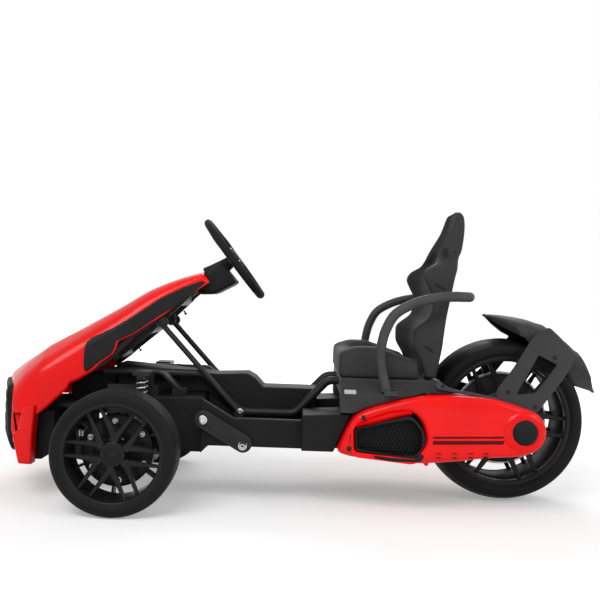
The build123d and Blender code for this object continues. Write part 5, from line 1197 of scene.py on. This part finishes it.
def make_steering():
    """Steering wheel with its grip, three spokes and hub, and the housing and cowl under it."""
    across = Vector((0, 1, 0))
    up = STEER_AXIS.cross(across).normalized()
    if up.z < 0:
        up = -up

    def at(out, angle, rise):
        """A point of the wheel: distance from its centre, angle from the top, rise along the column."""
        return STEER_CENTRE + (across * sin(angle) + up * cos(angle)) * out + STEER_AXIS * rise

    rings = []
    steps, sides = 96, 18
    for i in range(steps):
        angle = 2 * pi * i / steps
        thumb = max(0.0, cos(3 * (angle - pi))) ** 6
        grip = 9.0 + 0.9 * thumb
        turns = [2 * pi * j / sides for j in range(sides)]
        rings.append([at(97 + grip * cos(turn), angle, grip * 0.95 * sin(turn)) for turn in turns])
    piece("steering_ring", lofted(rings, looped=True), GRIP, "steering", ("steering_wheel",))

    spokes = []
    for turn in (180, 60, 300):
        angle = radians(turn)
        side = across * cos(angle) - up * sin(angle)
        rows = []
        for along, half, thick, rise in ((18, 15, 6.0, 1.5), (30, 12.5, 5.2, 0.8), (48, 10, 4.4, 0.0),
                                         (68, 9.2, 4.2, 0.0), (82, 10.5, 4.8, 0.0), (92, 13.0, 5.0, 0.0)):
            soft = 1.4
            rows.append([at(along, angle, rise) + side * a + STEER_AXIS * b for a, b in (
                (-half + soft, -thick / 2), (half - soft, -thick / 2), (half, -thick / 2 + soft),
                (half, thick / 2 - soft), (half - soft, thick / 2), (-half + soft, thick / 2),
                (-half, thick / 2 - soft), (-half, -thick / 2 + soft))])
        spokes.append(lofted(rows))
    hub = turned(((0, -11), (25, -11), (27, -9.5), (27, 2), (25.5, 5.5), (21, 8.6), (20, 9.2), (19.2, 8.6),
                  (18.6, 9.4), (12, 10.6), (0, 11)), 56)
    piece("steering_hub", joined(*spokes, on_column(hub, 0)), BLACK, "steering")
    screws = [(at(23.2, radians(a), 7.2), STEER_AXIS, 0.42) for a in (0, 120, 240)]
    piece("steering_screws", on_seats(socket_screw(), screws, BOLT), BOLT, "steering")

    shares = ((0.03, 0.0), (0.45, 0.03), (0.93, 0.34), (1.0, 0.42), (0.62, 0.93), (0.52, 0.97), (0.3, 0.75),
              (0.0, 0.3))
    line = soft_line(outline(shares, -231, 425, 84, 72), [4, 9, 8, 6, 7, 7, 9, 7])
    sides = 40
    cowl = lofted([[(r * cos(2 * pi * i / sides), r * sin(2 * pi * i / sides), h) for r, h in
                    ((9.2, 0), (22, 0), (24, 3), (20, 20), (15.5, 44), (13.5, 57), (9.2, 57))]
                   for i in range(sides)], looped=True)
    housing = joined(side_plate([line], -45.5, 45.5, 8.0, 5), on_column(cowl, -HOOD_END))
    piece("steering_housing", housing, BLACK, "root", ("steering_boss",), crease=50)


# ---------------------------------------------------------------- rear covers, fender and brackets

# The rear cover in shares of its box: its upper and lower line, then the scoop's lip, the intake in the
# shell with a rounding for each corner, and the outer and inner edge of the black frame in it
COVER_LINE = ((0.0, 0.13), (0.035, 0.4), (0.08, 0.66), (0.14, 0.76), (0.3, 0.91), (0.42, 0.99), (0.55, 1.0),
              (0.74, 0.975), (0.9, 0.84))
COVER_UNDER = ((0.895, 0.155), (0.82, 0.13), (0.72, 0.11), (0.6, 0.055), (0.42, 0.0), (0.33, 0.0), (0.06, 0.07))
COVER_END = (440.0, 176.0)
SCOOP_TOP = ((0.090, 0.515), (0.135, 0.580), (0.195, 0.665), (0.255, 0.725), (0.305, 0.742), (0.352, 0.745))
SCOOP_FOOT = ((0.092, 0.480), (0.130, 0.500), (0.175, 0.535), (0.225, 0.580), (0.290, 0.635), (0.352, 0.690))
INTAKE = ((0.086, 0.505), (0.090, 0.150), (0.371, 0.070), (0.428, 0.293), (0.424, 0.47), (0.398, 0.64),
          (0.352, 0.750), (0.255, 0.730), (0.135, 0.590))
INTAKE_CUTS = [8, 8, 10, 22, 22, 20, 16, 20, 14]
FRAME_OUTER = ((0.088, 0.483), (0.092, 0.155), (0.371, 0.075), (0.426, 0.293), (0.417, 0.456), (0.386, 0.596),
               (0.350, 0.696), (0.189, 0.556))
FRAME_OUTER_CUTS = [8, 8, 10, 22, 22, 20, 16, 20]
FRAME_INNER = ((0.092, 0.470), (0.098, 0.190), (0.300, 0.110), (0.378, 0.118), (0.402, 0.200), (0.407, 0.368),
               (0.394, 0.510), (0.352, 0.640), (0.189, 0.535))
FRAME_INNER_CUTS = [7, 8, 14, 10, 12, 20, 18, 14, 18]


def cover_outline():
    """Outline of a rear cover: the long shell and the round end about the rear axle."""
    top = outline(COVER_LINE, *COVER_BOX)
    x, z, radius = *COVER_END, 45
    arc = [(x + radius * cos(radians(a)), z + radius * sin(radians(a))) for a in range(62, -76, -9)]
    low = outline(COVER_UNDER, *COVER_BOX)
    cuts = [10] + [22] * (len(top) - 1) + [4] * len(arc) + [16] * (len(low) - 1) + [12]
    return soft_line(top + arc + low, cuts, 3)


def cover_shell():
    """Red cover of the right side: shell with its intake, round boss with a ring and ticks, foot and scoop."""
    intake = soft_line(outline(INTAKE, *COVER_BOX), INTAKE_CUTS)
    shell = side_plate([cover_outline(), intake], COVER_IN, COVER_OUT, 11.0, 6)
    boss = [(-20, 0.05), (2.8, 0.05), (5.2, 26), (4.6, 33), (3.4, 37.5), (0, 41.5), (-20, 43)]
    band = [(3.0, 27.0), (6.6, 27.4), (6.8, 29.2), (3.0, 30.0)]
    tick = block([(31, 4.2, -0.8), (39, 1.0, -0.8), (39, 1.0, 0.8), (31, 4.2, 0.8),
                  (31, 6.2, -0.6), (38, 4.2, -0.6), (38, 4.2, 0.6), (31, 6.2, 0.6)])
    foot = [(-26, 0.05), (-9, 0.05), (-8, 3), (-9, 4.6), (-26, 5)]
    rows = []
    for (x_high, z_high), (x_low, z_low) in zip(outline(SCOOP_TOP, *COVER_BOX), outline(SCOOP_FOOT, *COVER_BOX)):
        rows.append([(x_high, COVER_OUT - 5, z_high + 2), (x_high, COVER_OUT - 1.5, z_high - 1),
                     ((x_high + x_low) / 2, COVER_OUT - 4, (z_high + z_low) / 2), (x_low, COVER_OUT - 10, z_low),
                     (x_low, COVER_OUT - 13, z_low), (x_high, COVER_OUT - 12, z_high + 2)])
    return joined(shell, spun(boss, COVER_END, COVER_OUT, 1, 72), spun(band, COVER_END, COVER_OUT, 1, 72),
                  around(tick, 12, 10, COVER_END, COVER_OUT, RED), spun(foot, (251.0, 107.0), COVER_OUT, 1, 28),
                  lofted(rows))


def make_rear_covers():
    """Red covers with the black frame and honeycomb in their intake, lining, stripes, round cap, and black slot
    patches of painted shade.
    """
    for name, way in SIDES:
        piece("red_cover_" + name, wheel_form(cover_shell(), way), RED, "root",
              ("rear_cover_" + name,), crease=45)

    outer = soft_line(outline(FRAME_OUTER, *COVER_BOX), FRAME_OUTER_CUTS)
    inner = soft_line(outline(FRAME_INNER, *COVER_BOX), FRAME_INNER_CUTS)
    liner = side_plate([outer, inner], COVER_OUT - 34, COVER_OUT - 0.5, 2.2, 3)
    backing = side_plate([outer], COVER_OUT - 38, COVER_OUT - 30, 0.6)
    cell_wide, cell_high = 8.2, 7.1
    (x_middle, z_middle), = outline([(0.25, 0.36)], *COVER_BOX)
    seats = []
    for row in range(-14, 15):
        for column in range(-16, 17):
            x = x_middle + column * cell_wide + (row % 2) * cell_wide / 2
            z = z_middle + row * cell_high
            if inside(inner, x, z, 2.0):
                seats.append(((x, COVER_OUT - 13, z), (0, 1, 0)))
    sill = soft_line([(146, 121.5), (181, 118), (226, 117), (239, 127), (246, 124), (240, 112.5), (226, 110.5),
                      (181, 110.5), (146, 116)], 3.0, 3)
    liner = joined(liner, side_plate([sill], COVER_OUT - 12, COVER_OUT + 0.9, 1.5, 3))
    cell = honeycomb_cell(radius=4.6, wall=0.85, deep=3.0)
    grille = joined(liner, backing, on_seats(cell, seats, PANEL))
    piece("cover_intakes", both_sides(grille), PANEL, "root", ("intake_grilles",), crease=40)

    lining = side_plate([cover_outline()], COVER_IN - 2.5, COVER_IN + 0.5, 0.5, 1)
    piece("cover_linings", both_sides(lining), BLACK, "root")

    stripes = []
    for low, high in ((158.3, 162.0), (146.6, 153.6)):
        line = soft_line([(261, low), (398, low + 5), (402, high + 5), (261, high)], 1.0, 2)
        stripes.append(side_plate([line], COVER_OUT - 0.4, COVER_OUT + 0.7, 0.3, 1))
    piece("cover_stripes", both_sides(joined(*stripes)), STRIPE, "root")

    cap = [(5.8, 0.05), (9.6, 0.05), (9.4, 18), (8.4, 22.5), (6.4, 24.6), (4.0, 25)]
    caps = both_sides(spun(cap, COVER_END, COVER_OUT, 1, 64))
    piece("cover_round_caps", caps, BLACK, "root", ("cover_caps",))

    # The slots are not cut: black patches on the cover are painted shade for their dark insides.
    slots = []
    for x, z in ((273.1, 128.7), (304.5, 129.8), (336.0, 130.9), (365.8, 131.9)):
        for drop in (0.0, 7.6):
            slots.append(side_plate([slot_hole(x, z - drop, 5.0, 2.6)], COVER_OUT - 2, COVER_OUT + 0.35, 0.3, 1))
    piece("cover_slots", both_sides(joined(*slots)), BLACK, "root")


def inside(line, x, z, margin):
    """Whether a place lies inside an outline by a margin."""
    hit = False
    for (x_one, z_one), (x_two, z_two) in zip(line, line[1:] + line[:1]):
        if (z_one > z) != (z_two > z) and x < (x_two - x_one) * (z - z_one) / (z_two - z_one) + x_one:
            hit = not hit
        span = hypot(x_two - x_one, z_two - z_one)
        if span > 0:
            t = max(0.0, min(1.0, ((x - x_one) * (x_two - x_one) + (z - z_one) * (z_two - z_one)) / span**2))
            if hypot(x - x_one - t * (x_two - x_one), z - z_one - t * (z_two - z_one)) < margin:
                return False
    return hit


def honeycomb_cell(radius, wall, deep):
    """One six-sided tube of a honeycomb, open at both ends."""
    outer, inner = radius + wall * 0.4, radius - wall
    rings = []
    for i in range(6):
        c, s = cos(pi * i / 3 + pi / 6), sin(pi * i / 3 + pi / 6)
        rings.append([(outer * c, outer * s, -deep), (outer * c, outer * s, 0), (inner * c, inner * s, 0),
                      (inner * c, inner * s, -deep)])
    return lofted(rings, looped=True)


# Ridge and lower edge of the fender, in shares of its box
FENDER_TOP = (
    (0.0, 0.985), (0.1, 0.99), (0.19, 0.985), (0.3, 0.965), (0.39, 0.94), (0.49, 0.89), (0.6, 0.785), (0.7, 0.68),
    (0.8, 0.535), (0.91, 0.31), (0.96, 0.13), (1.0, 0.0),
)
FENDER_FOOT = (
    (0.045, 0.975), (0.140, 0.860), (0.240, 0.765), (0.330, 0.700), (0.352, 0.650), (0.450, 0.620), (0.550, 0.520),
    (0.620, 0.410), (0.677, 0.283), (0.714, 0.136), (0.820, 0.075), (0.985, 0.000),
)
# Across the fender: distance from the middle, how far the top is lower there
FENDER_CROWN = ((76, 24), (73, 19), (69, 15.5), (60, 10), (45, 4.5), (26, 1.5), (0, 0))


def make_fender():
    """Grey fender over the rear wheel: an arched channel with deep skirts, pointed ends and two raised bands."""
    ridge = outline(FENDER_TOP, *FENDER_BOX)
    skirt = outline(FENDER_FOOT, *FENDER_BOX)

    def along(line, share):
        """A place along a line of evenly counted points."""
        place = share * (len(line) - 1)
        k = min(int(place), len(line) - 2)
        return [line[k][c] + (line[k + 1][c] - line[k][c]) * (place - k) for c in (0, 1)]

    def top_row(t, lift=0.0):
        """How wide the fender is at a share of its length, and half of its top across, lifted a little."""
        wide = min(1.0, 0.06 + 4.2 * t, 0.06 + 3.4 * (1 - t))
        x, z = along(ridge, 0.035 + 0.965 * t)
        back = 16.0 * max(0.0, (t - 0.75) / 0.25)
        half = FENDER_CROWN[0][0]
        return wide, [(x - back * wide * across / half, across * wide, z - lower * wide + lift)
                      for across, lower in FENDER_CROWN]

    rings, count = [], 66
    for i in range(count + 1):
        t = i / count
        wide, row = top_row(t)
        (x, y, z), (x_foot, z_foot) = row[0], along(skirt, t)
        side = [(x + (x_foot - x) * share, y + bulge * wide, z + (z_foot - z) * share)
                for bulge, share in ((0, 1.0), (0.5, 0.75), (1, 0.5), (1, 0.25))]
        rings.append(whole(side + row))
    shell = faced(lofted(rings, closed=False, capped=False), (500, 0, 395), (0.3, 0, 1))
    bands, count = [], 8
    for first, last in ((0.44, 0.55), (0.70, 0.79)):
        rows = []
        for i in range(count + 1):
            t = first + (last - first) * i / count
            high = top_row(t, 2.6 if 0 < i < count else 1.2)[1]
            rows.append(whole(high) + whole(top_row(t, -2.0)[1])[::-1])
        bands.append(lofted(rows))
    piece("fender_bands", joined(*bands), FENDER, "root", crease=42)
    walled(piece("grey_fender", shell, FENDER, "root", ("rear_fender",), crease=42), 4.0)


# A bracket and its window, in shares of its length and its slanted height
BRACKET_LINE = (
    (0.0, 0.24), (0.0, 0.1), (0.48, 0.0), (0.9, 0.466), (1.01, 0.642), (0.858, 0.844), (0.705, 0.985),
    (0.507, 0.88), (0.225, 0.49),
)
BRACKET_WINDOW = ((0.481, 0.226), (0.768, 0.549), (0.551, 0.651), (0.244, 0.199))


def make_brackets():
    """Slanted plates from the fender to the covers, each with a window, a foot and two webs."""
    foot_y, top_y, low, high, x, long = 140.0, 76.0, 205.0, 179.0, 402.0, 170.0
    slant = hypot(high, foot_y - top_y)
    tip = atan2(foot_y - top_y, high)
    edge = soft_line(outline(BRACKET_LINE, x, 0, long, slant), [8, 8, 8, 26, 8, 10, 8, 14, 30])
    window = soft_line(outline(BRACKET_WINDOW, x, 0, long, slant), [4, 4, 3, 5], 4)
    plate = pressed([edge, window], 6.0, 1.8)
    for name, way in SIDES:
        mesh = copy_of(plate, Matrix.Rotation(pi / 2 - tip, 4, "X"))
        mesh = placed(mesh, Matrix.Translation((0, -(foot_y + 3.0 / cos(tip)) * MM, low * MM)))
        if way > 0:
            mesh = placed(mesh, MIRROR)
        foot = side_plate([box_outline(402, 462, 188, 222, 6)], way * 140.2, way * 145.8, 1.2)
        webs = []
        for along, up in ((0.68, 0.82), (0.92, 0.57)):
            web_x, web_z, reach = x + along * long, low + up * high, 7
            depth = foot_y - up * (foot_y - top_y) + 3
            line = box_outline(web_x - reach, web_x + reach, web_z - reach, web_z + reach, 2)
            webs.append(side_plate([line], way * 75.5, way * depth, 1.0))
        piece("bracket_plate_" + name, joined(mesh, foot, *webs), FENDER, "root",
              ("fender_bracket_" + name,), crease=45)


# ---------------------------------------------------------------- seat

def make_cushion():
    """Moulded seat pan with raised sides, a rolled front lip and a dished middle."""
    # Height of the raised sides and of the middle above the pan's foot, at places along the kart
    top = ((68, 34), (73, 44), (80, 52), (93, 58), (118, 64), (143, 64), (170, 58), (206, 46), (236, 36),
           (239, 34))
    dish = ((68, 34), (76, 44), (92, 48), (112, 42), (130, 34), (160, 29), (200, 25), (236, 22), (239, 22))
    front, back, base = 73.2, 237.8, 267.4
    rings = []
    for i in range(33):
        x = front + (back - front) * i / 32
        side, floor = eased(top, x)[0], eased(dish, x)[0]
        edge = min(x - front, back - x)
        half = 168 - 4.0 * (1 - min(1.0, edge / 8.0)) ** 2
        low = base + (6 - 6 * min(1.0, edge / 10.0))
        line = [(half - 10, low), (half - 3.5, low + 1), (half, low + 6), (half, base + side * 0.55),
                (half - 4, base + side * 0.84), (half - 13, base + side * 0.98), (half - 26, base + side),
                (half - 40, base + side * 0.94 + floor * 0.06), (half - 52, base + side * 0.6 + floor * 0.4),
                (half - 66, base + side * 0.12 + floor * 0.88), (half - 84, base + floor),
                (40, base + floor - 1.5), (0, base + floor - 2)]
        rings.append(whole([(x, y, z) for y, z in line]))
    piece("seat_pan", lofted(rings), SEAT, "root", ("seat_cushion",), crease=60, smooth=1)


def back_measures(z):
    """Front of the wings, rear face and half-width of the seat back at a height."""
    wing, rear, half = eased(BACK_ROWS, (z - BACK_Z) / BACK_HIGH)
    return BACK_X + wing * BACK_LONG, BACK_X + rear * BACK_LONG, half * BACK_HALF


def belt_slot_shade(one, two, half_wide):
    """Black patch on the seat back's side, between two places in side view: painted shade for the dark inside of a
    belt slot.
    """
    way = Vector((two[0] - one[0], two[1] - one[1])).normalized()
    rows = []
    for i in range(9):
        share = i / 8
        thin = half_wide * min(1.0, 0.45 + 3.0 * min(share, 1 - share))
        x, z = one[0] + (two[0] - one[0]) * share, one[1] + (two[1] - one[1]) * share
        corners = ((x - way.y * thin, z + way.x * thin), (x + way.y * thin, z - way.x * thin))
        faces = [(a, b, back_measures(b)[2]) for a, b in corners]
        rows.append([(a, out + 0.5, b) for a, b, out in faces] + [(a, out - 3, b) for a, b, out in faces[::-1]])
    return lofted(rows)


def wing_opening_shade():
    """Black patch in the front of the seat back's wing, beside the head: painted shade for the dark inside of an
    opening.
    """
    rows = []
    for i in range(7):
        z = 516 + 24 * i / 6
        x_wing, x_rear, out = back_measures(z)
        deep = x_rear - x_wing
        tight = 0.6 if i in (0, 6) else 1.0
        one = (x_wing + deep * (0.265 - 0.085 * tight), out * (0.78 + 0.03 * tight))
        two = (x_wing + deep * (0.265 + 0.085 * tight), out * (0.78 - 0.03 * tight))
        rows.append([(one[0] - 1.2, one[1] - 1.0, z), (two[0] - 1.2, two[1] - 1.0, z),
                     (two[0] + 3, two[1] + 3, z), (one[0] + 3, one[1] + 3, z)])
    return lofted(rows)


def make_seat_back():
    """Moulded seat back: side wings, a dished middle and a narrow head in one shell, with black patches of painted
    shade where its belt openings are.
    """
    rings, count = [], 60
    for i in range(count + 1):
        z = BACK_Z + i / count * BACK_HIGH
        x_wing, x_rear, out = back_measures(z)
        deep = x_rear - x_wing
        x_middle = x_wing + 0.46 * deep
        soft = min(9.0, deep * 0.28)
        line = [(x_rear - 3, 0), (x_rear - 2, out * 0.5), (x_rear, out - soft * 1.6),
                (x_rear - soft * 0.45, out - soft * 0.4), (x_rear - soft * 1.3, out), (x_wing + soft, out),
                (x_wing + soft * 0.3, out - soft * 0.35), (x_wing, out - soft * 1.2),
                (x_wing + deep * 0.05, out * 0.885), (x_wing + deep * 0.17, out * 0.82),
                (x_middle - deep * 0.1, out * 0.74), (x_middle, out * 0.63), (x_middle + 2, out * 0.4),
                (x_middle + 3, 0)]
        rings.append([(x, y, z) for x, y in line] + [(x, -y, z) for x, y in line[-2:0:-1]])
    piece("seat_back_shell", lofted(rings), SEAT, "root", ("seat_back",), crease=60, smooth=1)

    # The belt openings are not cut: black patches on the shell are painted shade for their dark insides.
    marks = [belt_slot_shade(one, two, half_wide) for one, two, half_wide in (
        ((264.5, 463.8), (287.7, 451.4), 2.6), ((246.2, 336.3), (265.3, 323.3), 2.8),
        ((295.0, 541.0), (295.0, 518.0), 6.0), ((312.5, 534.0), (318.0, 531.5), 1.6))]
    piece("seat_belt_openings", both_sides(joined(*marks, wing_opening_shade())), BLACK, "root")


def arc_path(points, bends):
    """Path with round bends of given radii."""
    points = [Vector(point) for point in points]
    out = [points[0]]
    for corner, before, after, radius in zip(points[1:-1], points, points[2:], bends):
        one, two = (before - corner).normalized(), (after - corner).normalized()
        half = one.angle(two) / 2
        cut = radius / tan(half)
        centre = corner + (one + two).normalized() * (radius / sin(half))
        start, end = corner + one * cut - centre, corner + two * cut - centre
        steps = 7
        swing = start.angle(end)
        for i in range(steps + 1):
            t = i / steps
            out.append(centre + (start * sin((1 - t) * swing) + end * sin(t * swing)) / sin(swing))
    out.append(points[-1])
    return out


def flowing(points, steps):
    """Smooth path through points."""
    points = [Vector(point) for point in points]
    points = [points[0] * 2 - points[1]] + points + [points[-1] * 2 - points[-2]]
    out = []
    for before, one, two, after in zip(points, points[1:], points[2:], points[3:]):
        for i in range(steps):
            t = i / steps
            out.append(0.5 * (2 * one + (two - before) * t + (2 * before - 5 * one + 4 * two - after) * t**2
                              + (3 * one - before - 3 * two + after) * t**3))
    return out + [points[-2]]


def make_hoop():
    """Powder-coated tube from foot to foot, with its crossbar behind the seat back."""
    side = [(169, 246), (158, 290), (154.6, 317), (157, 341), (165, 370), (182, 399), (214, 419), (250, 431),
            (285, 436.5)]
    path = flowing([(x, -194, z) for x, z in side], 6)
    path += arc_path([(300, -194, 438), (334, -194, 438), (334, 0, 438)], [33])[1:]
    piece("seat_hoop_tube", tube(whole(path), 10, 26), HOOP, "root", ("seat_hoop",), crease=60)


def make_small_parts():
    """Blank label, grey arms along the covers, nose tray, and the screws and bolts on tub, covers and brackets."""
    label = lofted([[(x, -197.2, 237.6), (x, -190.6, 244.6), (x, -191.4, 245.6), (x, -198.0, 238.6)]
                    for x in (86, 109)])
    piece("blank_label", label, LABEL, "root")
    arm = soft_line([(266, 263), (273, 268), (279, 266), (285, 260), (302, 254), (330, 249.5), (388, 240.5),
                     (391, 237), (388, 234), (330, 243), (300, 247.5), (270, 253)], 2.5, 3)
    piece("cover_arms", both_sides(side_plate([arm], 184, 192, 1.2)), HOOP, "root")
    bolts = [((-194.5, -182, 174), (0, -1, 0), 1.05), ((-113.5, -178, 124), (0, -1, 0), 1.05),
             ((-127, -87, 180), (0, -1, 0), 0.8)]
    piece("frame_bolts", both_sides(on_seats(hex_bolt(), bolts, BOLT)), BOLT, "root")
    screws = [((124.3, -214.2, 194.0), (0, -1, 0), 0.75), ((97.7, -215, 133), (0, -1, 0), 0.75),
              ((281, -192, 259), (0, -1, 0), 0.6), ((427, -131.6, 245.7), (0, -0.94, 0.34), 0.75),
              ((480.6, -141.5, 218.7), (0, -0.94, 0.34), 0.75), ((529.3, -105.8, 318.4), (0, -0.94, 0.34), 0.75)]
    piece("frame_screws", both_sides(on_seats(socket_screw(), screws, STEEL)), STEEL, "root")
    tray = soft_line([(-502, 82), (-412, 82), (-404, 96), (-404, 126), (-502, 126)], 4.0, 3)
    piece("nose_tray", side_plate([tray], -112, 112, 3.0), BLACK, "root")
    pivots = [((-297, -87, 364), (0, -1, 0), 1.6)]
    piece("strut_pivots", both_sides(on_seats(socket_screw(), pivots, STEEL)), STEEL, "root")


def make_springs():
    """Shock absorbers: rods with a cap at each end, and the coil springs round them."""
    x, y, low, high = -325, 148, 162.0, 256.0
    turns, steps, coil_r = 7, 24, 11.3
    bodies, coils = [], []
    for way in (-1, 1):
        centre = Vector((x, way * y, 0))
        path = []
        for i in range(turns * steps + 1):
            share = i / (turns * steps)
            angle = 2 * pi * turns * share
            up = low + 10 + share * (high - low - 22)
            path.append(centre + Vector((coil_r * cos(angle), coil_r * sin(angle), up)))
        coils.append(tube(path, 2.1, 10))
        for profile in (((0, 0), (13, 0), (13.4, 3), (12, 8), (8, 10), (0, 10)),
                        ((0, 0), (6.2, 0), (6.2, 94), (0, 94)),
                        ((0, 84), (9, 84), (13, 86), (13.4, 91), (13.4, 94), (0, 94))):
            part = turned([(radius, up + low) for radius, up in profile], 32)
            bodies.append(placed(part, Matrix.Translation(centre * MM)))
    piece("shock_bodies", joined(*bodies), STEEL, "root", ("shocks",))
    piece("shock_springs", joined(*coils), SPRING, "root")


set_camera()
light_studio()
for name, way in SIDES:
    make_front_wheel(name, way)
make_rear_wheel()
make_hood()
make_side_panels()
make_nose()
make_steering()
make_rear_covers()
make_fender()
make_brackets()
make_cushion()
make_seat_back()
make_hoop()
make_springs()
make_small_parts()

for node, name, material, slot, width in (
    ("chassis_tub", "tub_shell", BLACK, "black_plastic", 2.5),
    ("tunnel", "tunnel_cover", BLACK, "black_plastic", 3.0),
    ("seat_base", "seat_plinth", FENDER, "fender_plastic", 2.5),
    ("nose_carrier", "carrier_box", BLACK, "black_plastic", 1.5),
    ("front_subframe", "subframe_weldment", STEEL, "black_steel", 1.0),
    ("steering_box", "steering_gear_box", BLACK, "black_plastic", 2.0),
    ("frame_links", "link_plates", STEEL, "black_steel", 1.2),
    ("hood_frame", "hood_carrier", STEEL, "black_steel", 0.8),
):
    softened(node, name, material, width)

# The rest of the CAD nodes are shown as they are, in a finish of their own
for node, material in (
    ("side_tubes", STEEL), ("hood_struts", STEEL), ("column_tube", STEEL), ("steering_shaft", SPRING),
    ("track_rod", SPRING), ("knuckle_left", STEEL), ("knuckle_right", STEEL), ("rear_axle", BOLT),
    ("rear_arm_left", STEEL), ("rear_arm_right", STEEL), ("battery", CASE), ("brake_pedal", BLACK),
    ("accelerator_pedal", BLACK),
):
    mesh = frame["nodes"][node].data
    mesh.materials.clear()
    mesh.materials.append(material)
